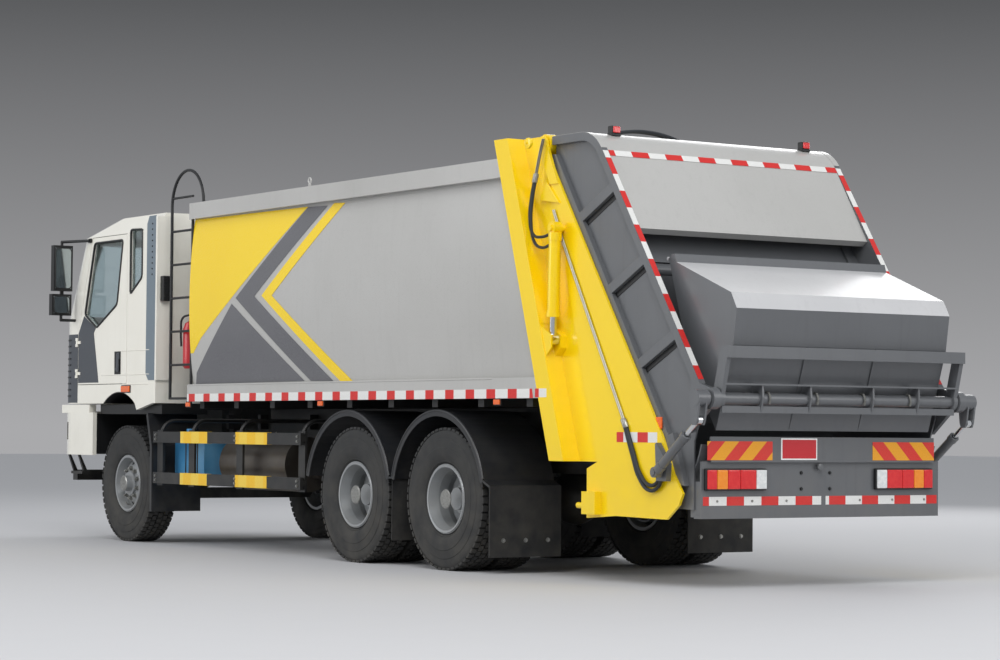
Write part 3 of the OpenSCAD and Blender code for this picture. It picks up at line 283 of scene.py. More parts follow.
@dataclass(frozen=True)
class Woven(Finish):
    """Upholstery cloth with a thread pattern.

    Attributes:
        thread_mm: Spacing of the threads, drawn three times as coarse so that it shows.
    """

    thread_mm: float = 3.0

    def tone(self, tree: bpy.types.NodeTree, place: bpy.types.NodeSocket) -> bpy.types.NodeSocket:
        """Crosses two sets of waves for warp and weft.

        Args:
            tree: Node tree of the material.
            place: Object coordinates.

        Returns:
            The colour socket.
        """
        scale = 1 / (self.thread_mm * MM) / 3
        warp = add(tree, "TexWave", {"Scale": scale, "bands_direction": "Y"}, {"Vector": place})
        weft = add(tree, "TexWave", {"Scale": scale, "bands_direction": "Z"}, {"Vector": place})
        cross = add(tree, "Math", {"operation": "MULTIPLY"}, {0: warp.outputs["Fac"], 1: weft.outputs["Fac"]})
        mix = add(tree, "Mix", {"data_type": "RGBA", 6: linear(self.colour), 7: linear(self.shade)},
                  {0: cross.outputs[0]})
        return mix.outputs[2]


@dataclass(frozen=True)
class Clear:
    """Glass or a clear lens with a faint film of dust.

    Attributes:
        name: What the real material is.
        colour: Tint of the light that passes.
        rough: Roughness of the surface.
        see_through: Transmission weight.
        film: Amount of dust film.
    """

    name: str
    colour: str
    rough: float = 0.03
    see_through: float = 1.0
    film: float = 0.08

    def build(self) -> bpy.types.Material:
        """Makes the material.

        Returns:
            The material, named for the real one.
        """
        material = bpy.data.materials.new(self.name)
        material.use_nodes = True
        tree = material.node_tree
        shader = tree.nodes["Principled BSDF"]
        place = add(tree, "TexCoord").outputs["Object"]
        smear = add(tree, "TexNoise", {"Scale": 4.0, "Detail": 6.0}, {"Vector": place})
        rough = add(tree, "MapRange", {"To Min": self.rough, "To Max": self.rough + self.film},
                    {"Value": smear.outputs["Fac"]})
        fade = add(tree, "MapRange", {"To Max": self.film}, {"Value": smear.outputs["Fac"]})
        tone = add(tree, "Mix", {"data_type": "RGBA", 6: linear(self.colour), 7: linear("FFFFFF")},
                   {0: fade.outputs[0]})
        tree.links.new(tone.outputs[2], shader.inputs["Base Color"])
        tree.links.new(rough.outputs[0], shader.inputs["Roughness"])
        shader.inputs["Transmission Weight"].default_value = self.see_through
        shader.inputs["IOR"].default_value = 1.45
        return material


@dataclass
class Palette:
    """The finishes of the truck, each made once when it is first used.

    Attributes:
        finishes: Finish of each named surface.
        made: Materials made so far.
    """

    finishes: dict[str, Finish | Clear] = field(default_factory=dict)
    made: dict[str, bpy.types.Material] = field(default_factory=dict)

    def __post_init__(self) -> None:
        """Fills in the truck's finishes."""
        tape = {"rough": 0.3, "grain": 0.02, "dust": 0.1}
        self.finishes = {
            # satin black frame paint: low gloss, dulled by road dust
            "chassis": Finish("satin_chassis_paint", "151618", "222326", 0.45, dust=0.22, grain=0.15, grain_mm=4),
            # painted grey iron, sand cast: coarse pebbly skin
            "cast": Finish("sand_cast_iron", "4C5052", "34373A", 0.6, grain=0.5, grain_mm=3, dust=0.5),
            # brushed aluminium sheet: soft bright sheen
            "alloy": Finish("brushed_aluminium", "B9BCBF", "8F9396", 0.32, 1.0, grain_mm=1.5, dust=0.2),
            # blow-moulded blue polyethylene: waxy, slightly clear
            "blue": Finish("moulded_polyethylene", "3C8FC4", "7FB6D6", 0.35, mottle=0.5, dust=0.25),
            # aluminised steel, heat dulled: bluish brown patches
            "heat": Finish("heat_dulled_steel", "6B6763", "4A4038", 0.45, 0.9, mottle=0.7, dust=0.35),
            # cream two-pack enamel: high gloss with a faint orange peel
            "white": Finish("cream_enamel", "F6F3E8", "EAE6D8", 0.22, grain=0.025, grain_mm=5, dust=0.12,
                            dust_top=1.5, coat=0.6, streak=0.02),
            # powder-coated steel: fine-grained satin black
            "guard": Finish("black_powder_coat", "17181A", "232427", 0.42, grain=0.12, dust=0.15),
            # moulded black guards: satin, dusty on their crowns
            "arch": Finish("moulded_black_guard", "1D1F23", "2A2D32", 0.38, grain=0.12, dust=0.15),
            # filled rubber sheet: dead matt, greyed by dust
            "flap": Finish("filled_rubber_sheet", "1C1D1F", "28292B", 0.7, grain=0.3, dust=0.14),
            # silver-grey enamel: even and half gloss, a touch warm
            "silver": Finish("silver_grey_enamel", "BAB9B6", "A9A8A4", 0.3, grain=0.03, grain_mm=5, dust=0.15,
                             mottle_mm=1500, mottle=0.5, coat=0.35, streak=0.04),
            # grey enamel made lighter as a painted highlight of the sky-lit bucket faces: half gloss, streaked by rain
            "bucket_painted_highlight_grey": Finish("light_grey_enamel", "C9C9CA", "BABABC", 0.33, grain=0.03, coat=0.3,
                                   streak=0.06),
            # chrome-yellow enamel: saturated with a wet gloss
            "yellow": Finish("chrome_yellow_enamel", "FFDA05", "FACC00", 0.26, grain=0.03, grain_mm=5, dust=0.08,
                             coat=0.5, mottle_mm=900),
            # dark grey enamel: half gloss with rain streaks
            "grey": Finish("dark_grey_enamel", "626467", "55575A", 0.34, grain=0.05, grain_mm=5, dust=0.15,
                           coat=0.25, streak=0.1),
            # grey enamel rubbed in use: duller, with dark patches
            "grey_worn": Finish("scuffed_grey_enamel", "6E6E6A", "55544F", 0.45, grain=0.08, streak=0.3,
                                mottle_mm=120, mottle=0.6),
            # cast vinyl film: smooth, with a flat gloss
            "vinyl_grey": Finish("grey_vinyl", "66666A", "5C5C60", 0.28, grain=0.02, coat=0.3),
            # textured trim plastic: fine grain and low gloss
            "trim": Finish("textured_trim_plastic", "4B4F55", "43474D", 0.5, grain=0.25, grain_mm=1.5),
            # slate trim plastic: smooth and low in gloss
            "fairing": Finish("slate_trim_plastic", "75828C", "6B7780", 0.45, grain=0.15),
            # moulded black plastic: satin with a fine grain; also used for black sheets of painted shade
            "black": Finish("black_plastic_and_painted_shade", "141516", "202123", 0.45, grain=0.2, grain_mm=1.5),
            # grained dashboard plastic: matt, with a coarse grain
            "dash": Finish("grained_dash_plastic", "2C2D30", "38393C", 0.6, grain=0.5, grain_mm=1.2),
            # ribbed seat cloth: matt with crossed threads
            "cloth": Woven("woven_seat_cloth", "2C3036", "4A5058", 0.9, grain=0.4, grain_mm=1),
            # vulcanised tyre rubber: matt, greyed with road dust
            "tyre": Finish("tyre_rubber", "2A2B2C", "343434", 0.8, mottle_mm=90, mottle=0.5, grain=0.3,
                           grain_mm=2, dust=0.16, dust_top=1.2),
            # silver wheel enamel: a faint metal sheen under road dust
            "rim": Finish("silver_wheel_enamel", "9C9FA1", "83868A", 0.38, 0.3, grain=0.05, dust=0.3,
                          dust_top=1.1),
            # zinc-plated steel: dull metal in pale and dark spots
            "nut": Finish("zinc_plated_steel", "A7A7A3", "7F7D78", 0.35, 0.9, mottle_mm=15, mottle=0.6),
            # ground chrome plate: bright and nearly without grain
            "chrome": Finish("ground_chrome_plate", "D9DBDD", "C6C9CC", 0.12, 1.0, grain=0.01, grain_mm=1),
            # plated steel pipe: a yellowish grey metal sheen
            "pipe": Finish("plated_pipe", "8E8B80", "7A776C", 0.36, 1.0, grain=0.04, grain_mm=2),
            # braided hose cover: matt and nearly black
            "hose": Finish("braided_hose_cover", "24282D", "30353B", 0.6, grain=0.3, grain_mm=1.5),
            # signal red enamel: even and glossy
            "red": Finish("signal_red_enamel", "C8202A", "B01821", 0.3, coat=0.3, grain=0.03),
            # white film: flat and clean
            "white_line": Finish("white_film", "F2F2F0", "E6E6E2", 0.35, grain=0.02),
            # silvered glass: sharp reflections
            "mirror": Finish("silvered_glass", "AEB8BC", "A4AEB2", 0.06, 1.0, grain=0.0),
            # toughened glass: clear, with a hint of blue-green
            "window": Clear("window_glass", "DCE8EA"),
            # moulded red lens: prisms under a hard gloss; its lighter patches are painted glints
            "lens_red": Finish("red_lens", "D8191F", "F04038", 0.15, grain=0.25, grain_mm=7, coat=0.8, mottle_mm=30),
            # moulded amber lens: the same prisms in orange, with lighter patches as painted glints
            "lens_amber": Finish("amber_lens", "F28A12", "FFB040", 0.15, grain=0.25, grain_mm=7, coat=0.8,
                                 mottle_mm=30),
            # clear lens over a reflector: pale, with brighter patches painted as glints
            "lens_white": Finish("clear_lens", "DADDDD", "F6F6F4", 0.12, grain=0.3, grain_mm=7, coat=0.8,
                                 mottle_mm=25, mottle=0.7),
            # small orange lens: finer prisms and a softer gloss, with lighter patches as painted glints
            "marker": Finish("orange_lens", "F0641A", "FF8A3C", 0.2, grain=0.2, grain_mm=6, coat=0.6, mottle_mm=20),
            # prismatic reflective tape: red and white bands over a faint honeycomb
            "tape_sill": Banded("reflective_tape_sill", "DB2B27", "EDEDEA", along=(-1, 0, 0), pitch=0.285,
                                share=0.42, **tape),
            # the same tape, banded down the slope of the tailgate's walls
            "tape_wall": Banded("reflective_tape_wall", "DB2B27", "EDEDEA", along=(-0.565, 0, -0.825), pitch=0.30,
                                **tape),
            # the same tape, banded across the vehicle
            "tape_cross": Banded("reflective_tape_cross", "DB2B27", "EDEDEA", along=(0, -1, 0), pitch=0.30,
                                 start=0.05, **tape),
            # yellow reflective sleeve: two yellows that hardly differ
            "tape_yellow": Banded("reflective_tape_sleeve", "FFCB1F", "FFD84A", along=(-1, 0, 0), pitch=0.3,
                                  **tape),
            # reflective warning board: slanting red and amber bars
            "board_left": Banded("warning_board_left", "F5A81C", "E0352B", along=(0, -1, -1), pitch=0.170,
                                 start=0.025, **tape),
            # the same board with its bars slanting the other way
            "board_right": Banded("warning_board_right", "F5A81C", "E0352B", along=(0, 1, -1), pitch=0.170,
                                  start=0.025, **tape),
        }

    def get(self, name: str) -> bpy.types.Material:
        """Returns the named material, made at its first use.

        Args:
            name: Key of the finish.

        Returns:
            The material.
        """
        if name not in self.made:
            self.made[name] = self.finishes[name].build()
        return self.made[name]


# ---- Bench ----

class Bench:
    """Adds primitives and shapes them in edit mode, one piece at a time."""

    @staticmethod
    def clear() -> None:
        """Deselects every object, so that an operator acts on the new piece alone."""
        if bpy.context.object and bpy.context.object.mode != "OBJECT":
            bpy.ops.object.mode_set(mode="OBJECT")
        bpy.ops.object.select_all(action="DESELECT")

    @staticmethod
    def settle(name: str) -> bpy.types.Object:
        """Puts the active piece's place in its mesh and names it.

        Args:
            name: Name of the piece.

        Returns:
            The piece.
        """
        bpy.ops.object.transform_apply(location=True, rotation=True, scale=True)
        piece = bpy.context.object
        piece.name = name
        piece.data.name = name
        return piece

    @staticmethod
    def edit(piece: bpy.types.Object, pick: Callable[[Vector, Vector], bool] | None = None,
             kind: str = "FACE") -> None:
        """Opens a piece in edit mode with the picked faces or edges selected.

        Args:
            piece: The piece.
            pick: Test of an element's middle and normal, or None for all.
            kind: FACE or EDGE.
        """
        Bench.clear()
        bpy.context.view_layer.objects.active = piece
        piece.select_set(True)
        bpy.ops.object.mode_set(mode="EDIT")
        bpy.ops.mesh.select_mode(type=kind)
        if pick is None:
            bpy.ops.mesh.select_all(action="SELECT")
            return
        bpy.ops.mesh.select_all(action="DESELECT")
        shape = bmesh.from_edit_mesh(piece.data)
        if kind == "FACE":
            for face in shape.faces:
                face.select_set(pick(face.calc_center_median(), face.normal))
        else:
            for edge in shape.edges:
                a, b = (v.co for v in edge.verts)
                edge.select_set(pick((a + b) / 2, (b - a).normalized()))
        bmesh.update_edit_mesh(piece.data)

    @staticmethod
    def done() -> None:
        """Leaves edit mode."""
        bpy.ops.object.mode_set(mode="OBJECT")

    @staticmethod
    def bevel(piece: bpy.types.Object, width: float, segments: int = 2,
              pick: Callable[[Vector, Vector], bool] | None = None) -> bpy.types.Object:
        """Rounds a piece's edges.

        Args:
            piece: The piece.
            width: Width of the rounding.
            segments: Facets across it.
            pick: Test of the edges to round, or None for all.

        Returns:
            The piece.
        """
        Bench.edit(piece, pick, "EDGE")
        bpy.ops.mesh.bevel(offset=width, segments=segments, affect="EDGES", clamp_overlap=True)
        Bench.done()
        return piece

    @staticmethod
    def block(name: str, low: Point, high: Point, bevel: float = 0.0, segments: int = 2) -> bpy.types.Object:
        """Makes a block between two corners.

        Args:
            name: Name of the piece.
            low: Lowest corner.
            high: Highest corner.
            bevel: Width of its rounded edges.
            segments: Facets across a rounded edge.

        Returns:
            The piece.
        """
        Bench.clear()
        low, high = Vector(low), Vector(high)
        bpy.ops.mesh.primitive_cube_add(size=1, location=(low + high) / 2, scale=high - low)
        piece = Bench.settle(name)
        return Bench.bevel(piece, bevel, segments) if bevel else piece

    @staticmethod
    def bar(name: str, start: Point, end: Point, radius: float, sides: int = 24,
            bevel: float = 0.0) -> bpy.types.Object:
        """Makes a round bar between two points.

        Args:
            name: Name of the piece.
            start: Middle of one end.
            end: Middle of the other.
            radius: Radius of the bar.
            sides: Facets round it.
            bevel: Width of the rounded rims.

        Returns:
            The piece.
        """
        Bench.clear()
        start, end = Vector(start), Vector(end)
        turn = (end - start).to_track_quat("Z", "Y").to_euler()
        bpy.ops.mesh.primitive_cone_add(vertices=sides, radius1=radius, radius2=radius,
                                        depth=(end - start).length, location=(start + end) / 2, rotation=turn)
        piece = Bench.settle(name)
        along = (end - start).normalized()
        if bevel:
            Bench.bevel(piece, bevel, 2, lambda middle, way: abs(way.dot(along)) < 0.5)
        return Bench.smooth(piece)

    @staticmethod
    def plate(name: str, outline: Iterable[Point], push: Point, bevel: float = 0.0) -> bpy.types.Object:
        """Makes a flat plate from its outline, pushed to its thickness.

        Args:
            name: Name of the piece.
            outline: Corners, as points in space.
            push: Direction and thickness.
            bevel: Width of its rounded edges.

        Returns:
            The piece.
        """
        Bench.clear()
        corners = [tuple(p) for p in outline]
        bpy.ops.mesh.primitive_circle_add(vertices=len(corners), radius=1, fill_type="NGON")
        piece = Bench.settle(name)
        for vertex, corner in zip(piece.data.vertices, corners):
            vertex.co = corner
        Bench.edit(piece)
        bpy.ops.mesh.extrude_region_move(TRANSFORM_OT_translate={"value": tuple(push)})
        bpy.ops.mesh.select_all(action="SELECT")
        bpy.ops.mesh.normals_make_consistent(inside=False)
        Bench.done()
        return Bench.bevel(piece, bevel, 2) if bevel else piece

    @staticmethod
    def turned(name: str, profile: Iterable[Point], centre: Point, steps: int = 64) -> bpy.types.Object:
        """Turns a closed profile about an axle that lies along Y.

        Args:
            name: Name of the piece.
            profile: Corners as (radius, offset along Y from the centre).
            centre: Middle of the turned piece.
            steps: Facets round it.

        Returns:
            The piece.
        """
        Bench.clear()
        corners = list(profile)
        bpy.ops.mesh.primitive_circle_add(vertices=len(corners), radius=1, fill_type="NOTHING")
        piece = Bench.settle(name)
        middle = Vector(centre)
        for vertex, (radius, offset) in zip(piece.data.vertices, corners):
            vertex.co = middle + Vector((0, offset, radius))
        Bench.edit(piece, None, "EDGE")
        bpy.ops.mesh.spin(steps=steps, angle=math.tau, center=middle, axis=(0, 1, 0))
        bpy.ops.mesh.select_all(action="SELECT")
        bpy.ops.mesh.remove_doubles(threshold=0.0002)
        bpy.ops.mesh.normals_make_consistent(inside=False)
        Bench.done()
        return Bench.smooth(piece)

    @staticmethod
    def tube(name: str, points: Sequence[Point], radius: float, sides: int = 3,
             closed: bool = False, handles: str = "AUTO") -> bpy.types.Object:
        """Makes a smooth bent tube through points.

        Args:
            name: Name of the piece.
            points: Points that the tube's middle passes.
            radius: Radius of the tube.
            sides: Resolution round it.
            closed: Whether the tube joins its own start.
            handles: AUTO for a smooth line and VECTOR for straight runs.

        Returns:
            The piece.
        """
        Bench.clear()
        path = bpy.data.curves.new(name, "CURVE")
        path.dimensions = "3D"
        path.bevel_depth = radius
        path.bevel_resolution = sides
        path.use_fill_caps = True
        line = path.splines.new("BEZIER")
        line.bezier_points.add(len(points) - 1)
        line.use_cyclic_u = closed
        line.resolution_u = 6 if handles == "AUTO" else 1
        for knot, place in zip(line.bezier_points, points):
            knot.co = place
            knot.handle_left_type = knot.handle_right_type = handles
        piece = bpy.data.objects.new(name, path)
        bpy.context.collection.objects.link(piece)
        bpy.context.view_layer.objects.active = piece
        piece.select_set(True)
        bpy.ops.object.convert(target="MESH")
        return Bench.smooth(Bench.settle(name))

    @staticmethod
    def outline_tube(name: str, corners: Sequence[Point], radius: float) -> bpy.types.Object:
        """Makes a closed seal of straight runs with rounded corners.

        Args:
            name: Name of the piece.
            corners: Corners of the outline.
            radius: Radius of the seal.

        Returns:
            The piece.
        """
        reach, pull, rounded = 0.03, 0.29, []
        for index, corner in enumerate(corners):
            here, before = Vector(corner), Vector(corners[index - 1])
            after = Vector(corners[(index + 1) % len(corners)])
            first, last = ((other - here).normalized() * reach for other in (before, after))
            rounded += [here + first, here + (first + last) * pull, here + last]
        return Bench.tube(name, rounded, radius, 2, True, "VECTOR")

    @staticmethod
    def join(name: str, pieces: Sequence[bpy.types.Object]) -> bpy.types.Object:
        """Joins pieces into one.

        Args:
            name: Name of the joined piece.
            pieces: The pieces.

        Returns:
            The joined piece.
        """
        Bench.clear()
        for piece in pieces:
            piece.select_set(True)
        bpy.context.view_layer.objects.active = pieces[0]
        if len(pieces) > 1:
            bpy.ops.object.join()
        return Bench.settle(name)

    @staticmethod
    def smooth(piece: bpy.types.Object, angle: float = 32) -> bpy.types.Object:
        """Shades a piece smooth up to an angle in degrees and returns it."""
        Bench.clear()
        bpy.context.view_layer.objects.active = piece
        piece.select_set(True)
        bpy.ops.object.shade_smooth_by_angle(angle=math.radians(angle))
        return piece

    @staticmethod
    def copied(piece: bpy.types.Object, name: str, move: Matrix) -> bpy.types.Object:
        """Copies a piece, with its own mesh, to another place.

        Args:
            piece: The piece to copy.
            name: Name of the copy.
            move: Where the copy goes; a mirror's faces are turned outwards again.

        Returns:
            The copy.
        """
        copy = piece.copy()
        copy.data = piece.data.copy()
        copy.name = copy.data.name = name
        copy.data.transform(move)
        if move.determinant() < 0:
            copy.data.flip_normals()
        bpy.context.collection.objects.link(copy)
        return copy

    @staticmethod
    def mirrored(piece: bpy.types.Object, name: str) -> bpy.types.Object:
        """Copies a piece to the other side of the vehicle under a new name."""
        return Bench.copied(piece, name, Matrix.Scale(-1, 4, (0, 1, 0)))


BOTH = (("left", 1), ("right", -1))


@dataclass
class Assembly:
    """What every sub-assembly shares: the palette and how a piece is placed.

    Attributes:
        palette: The truck's finishes.
        nose: Foremost point of the vehicle.
        front_axle: Place of the steered axle.
        mid_axle: Place of the first driven axle.
        rear_axle: Place of the second driven axle.
        axle_z: Height of the axles.
        cab_y: Half the cab's width.
        body_y: Half the load body's width.
    """

    palette: Palette
    nose: float = 0.0
    front_axle: float = 0.0
    mid_axle: float = 0.0
    rear_axle: float = 0.0
    axle_z: float = 0.0
    cab_y: float = 0.0
    body_y: float = 0.0

    def __post_init__(self) -> None:
        """Reads the driving places from the frame."""
        self.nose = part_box("front_panel")[1][0]
        centres = [(Vector(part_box(f"left_{place}")[0]) + Vector(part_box(f"left_{place}")[1])) / 2
                   for place in ("front_tyre", "mid_tyres", "rear_tyres")]
        self.front_axle, self.mid_axle, self.rear_axle = (c.x for c in centres)
        self.axle_z = centres[0].z
        self.cab_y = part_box("front_bumper")[1][1]
        self.body_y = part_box("box_floor")[1][1]

    def put(self, piece: bpy.types.Object, body: str, slot: Slot, finish: str) -> bpy.types.Object:
        """Dresses a piece and makes it ride on a body.

        Args:
            piece: The piece.
            body: Body that carries it.
            slot: The record's slot that its finish belongs to; not used.
            finish: Key of the finish.

        Returns:
            The piece.
        """
        piece.data.materials.clear()
        piece.data.materials.append(self.palette.get(finish))
        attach(piece, body)
        LOG.info("%s rides on %s in %s", piece.name, body, finish)
        return piece

    def pair(self, piece: bpy.types.Object, body: str, slot: Slot, finish: str) -> None:
        """Places a left piece and its mirror image on one body.

        Args:
            piece: The left piece, whose name starts with left.
            body: Body that carries both.
            slot: The record's slot that its finish belongs to.
            finish: Key of the finish.
        """
        self.put(Bench.mirrored(piece, piece.name.replace("left", "right", 1)), body, slot, finish)
        self.put(piece, body, slot, finish)

    def bolt(self, name: str, place: Point, way: Point, size: float = 0.012) -> bpy.types.Object:
        """Makes a hexagon bolt head on its washer.

        Args:
            name: Name of the piece.
            place: Middle of the washer's foot.
            way: Direction that the head points.
            size: Radius over the head's corners.

        Returns:
            The bolt head.
        """
        foot, along = Vector(place), Vector(way).normalized()
        washer = Bench.bar(name + "_washer", foot, foot + along * size * 0.25, size * 1.25, 16)
        head = Bench.bar(name + "_head", foot + along * size * 0.2, foot + along * size * 0.95, size, 6)
        return Bench.join(name, [washer, head])

    def bolts(self, name: str, places: Iterable[Point], way: Point, size: float = 0.012) -> bpy.types.Object:
        """Models one bolt and copies it to every place, as one piece.

        Args:
            name: Name of the joined piece.
            places: Feet of the bolts.
            way: Direction that the heads point.
            size: Radius over a head's corners.

        Returns:
            The joined bolts.
        """
        feet = [Vector(p) for p in places]
        first = self.bolt(name, feet[0], way, size)
        rest = [Bench.copied(first, f"{name}_{i}", Matrix.Translation(foot - feet[0]))
                for i, foot in enumerate(feet[1:])]
        return Bench.join(name, [first, *rest])


@dataclass
class CarriedNodes(Assembly):
    """Dresses the frame's own nodes in their finishes.

    Attributes:
        by_slot: Finish of each material slot.
        by_node: Finish of the nodes that differ from their slot.
    """

    by_slot: dict[Slot, str] = field(default_factory=lambda: {
        Slot.CHASSIS: "chassis", Slot.CAST: "cast", Slot.ALLOY: "alloy", Slot.BLUE: "blue",
        Slot.HEAT: "heat", Slot.WHITE: "white", Slot.GUARD: "guard", Slot.ARCH: "arch",
        Slot.FLAP: "flap", Slot.SILVER: "silver", Slot.YELLOW: "yellow", Slot.GREY: "grey",
        Slot.GRILLE: "trim", Slot.WINDOW: "window", Slot.DASH: "dash", Slot.SEAT: "cloth",
        Slot.TYRE: "tyre", Slot.RIM: "rim", Slot.CHROME: "chrome", Slot.HOSE: "pipe"})
    by_node: dict[str, str] = field(default_factory=lambda: {"cab_fairings": "white", "mirrors": "black"})

    def build(self) -> None:
        """Gives every node the finish of its slot."""
        for entry in frame["record"]["subparts"]:
            node = frame["nodes"].get(entry["node"])
            if node is None:
                continue
            finish = self.by_node.get(entry["node"], self.by_slot[Slot(entry["material_slot"])])
            if not node.data.materials:
                node.data.materials.append(None)
            for index in range(len(node.data.materials)):
                node.data.materials[index] = self.palette.get(finish)


@dataclass
class Wheels(Assembly):
    """Tyres with tread, and the nuts, caps and rings on the rims.

    Attributes:
        tyre_r: Outer radius of a tyre.
        tyre_w: Width of a tyre.
        rim_r: Radius of the rim at the bead.
        lugs: Number of tread blocks round a tyre.
        nuts: Number of wheel nuts.
        nut_ring_r: Radius of the ring of nuts.
        nut_r: Radius over a nut's corners.
        twin_y: Reach from a twin pair's middle to its outer wheel's middle.
        disc_y: Reach from a front wheel's middle to its disc's face.
        lock_y: Reach from a wheel's middle to its lock ring.
        front_cap_r: Radius of a front wheel's hub cap.
        twin_cap_r: Radius of a twin pair's hub cap.
        rows: Tread rows as (offset, width, share of a step that the row is turned).
    """

    tyre_r: float = 0.5425
    tyre_w: float = 0.293
    rim_r: float = 0.254
    lugs: int = 56
    nuts: int = 10
    nut_ring_r: float = 0.14
    nut_r: float = 0.019
    twin_y: float = 0.165
    disc_y: float = 0.080
    lock_y: float = 0.1205
    front_cap_r: float = 0.075
    twin_cap_r: float = 0.078
    rows: tuple = ((-0.106, 0.048, 0.0), (-0.054, 0.040, 0.5), (0.0, 0.046, 0.0), (0.054, 0.040, 0.5),
                   (0.106, 0.048, 0.0))

    def profile(self) -> list[tuple[float, float]]:
        """Gives a tyre's section from bead to bead.

        Returns:
            Corners as (radius, offset), going round the section once.
        """
        half, r, b = self.tyre_w / 2, self.tyre_r, self.rim_r + 0.0004
        side = [(b, half - 0.050), (b + 0.012, half - 0.047), (b + 0.026, half - 0.026), (b + 0.032, half - 0.020),
                (b + 0.036, half - 0.022), (b + 0.060, half - 0.008), (b + 0.100, half - 0.0015),
                (b + 0.135, half - 0.0005), (b + 0.139, half - 0.004), (b + 0.170, half - 0.005),
                (b + 0.200, half - 0.008), (b + 0.204, half - 0.012), (b + 0.235, half - 0.013),
                (r - 0.030, half - 0.017), (r - 0.017, half - 0.026)]
        far = [(radius, -offset) for radius, offset in reversed(side)]
        return side + far

    def tread(self, name: str, centre: Vector) -> list[bpy.types.Object]:
        """Models one block of each tread row and copies it round the tyre.

        Args:
            name: Name of the tyre.
            centre: Middle of the tyre.

        Returns:
            The tread blocks.
        """
        step = math.tau / self.lugs
        blocks = []
        for offset, width, phase in self.rows:
            length = self.tyre_r * step * (0.74 if abs(offset) > 0.1 else 0.86)
            low = centre + Vector((-length / 2, offset - width / 2, self.tyre_r - 0.019))
            high = centre + Vector((length / 2, offset + width / 2, self.tyre_r - 0.0012))
            block = Bench.block(name + "_block", low, high)
            Bench.edit(block, lambda middle, normal: normal.z > 0.9)
            bpy.ops.transform.resize(value=(0.9, 0.93, 1))
            Bench.done()
            ring = [Bench.copied(block, name + "_lug", self.turn(centre, step * (i + phase)))
                    for i in range(self.lugs)]
            bpy.data.objects.remove(block)
            blocks += ring
        return blocks

    def turn(self, centre: Vector, angle: float) -> Matrix:
        """Gives a turn about an axle through a centre."""
        return Matrix.Translation(centre) @ Matrix.Rotation(angle, 4, "Y") @ Matrix.Translation(-centre)

    def tyre(self) -> bpy.types.Object:
        """Models one tyre at the origin.

        Returns:
            The tyre, from which the others are copied.
        """
        centre = Vector((0, 0, 0))
        carcass = Bench.turned("tyre_carcass", self.profile(), centre, 96)
        return Bench.join("tyre_model", [carcass, *self.tread("tyre", centre)])

    def nuts_ring(self, name: str, face: Vector, side: int, ring_r: float, size: float) -> bpy.types.Object:
        """Makes a ring of wheel nuts with studs.

        Args:
            name: Name of the piece.
            face: Middle of the disc's outer face.
            side: 1 on the left and -1 on the right.
            ring_r: Radius of the ring.
            size: Radius over a nut's corners.

        Returns:
            The nuts.
        """
        foot = face + Vector((0, 0, ring_r))
        way = Vector((0, side, 0))
        first = Bench.join(name, [
            Bench.bar(name + "_washer", foot, foot + way * 0.004, size * 1.25, 16),
            Bench.bar(name + "_nut", foot + way * 0.003, foot + way * 0.024, size, 6),
            Bench.bar(name + "_stud", foot + way * 0.02, foot + way * 0.036, size * 0.55, 12, 0.002)])
        rest = [Bench.copied(first, f"{name}_{i}", self.turn(face, math.tau * i / self.nuts))
                for i in range(1, self.nuts)]
        return Bench.join(name, [first, *rest])

    def build(self) -> None:
        """Places tyres, nuts and rings on all six wheel bodies."""
        model = self.tyre()
        for side_name, side in BOTH:
            for place, body, node in (("front", "wheel", "tyre"), ("mid", "wheels", "tyres"),
                                      ("rear", "wheels", "tyres")):
                low, high = (Vector(c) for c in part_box(f"{side_name}_{place}_{node}"))
                mid = (low + high) / 2
                reach = (high.y - low.y - self.tyre_w) / 2
                offsets = [0.0] if place == "front" else [-reach, reach]
                tyres = [Bench.copied(model, f"{side_name}_{place}_rubber_{i}",
                                      Matrix.Translation(mid + Vector((0, dy, 0))))
                         for i, dy in enumerate(offsets)]
                tyre = Bench.join(f"{side_name}_{place}_rubber", tyres)
                rides = f"{side_name}_{place}_{body}"
                self.put(tyre, rides, Slot.TYRE, "tyre")
                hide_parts(f"{side_name}_{place}_{node}")
                rim = "rim" if place == "front" else "rims"
                rim_low, rim_high = (Vector(c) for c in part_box(f"{side_name}_{place}_{rim}"))
                self.dress_rim(f"{side_name}_{place}", rides, side, mid, rim_low, rim_high, place == "front")
        bpy.data.objects.remove(model)

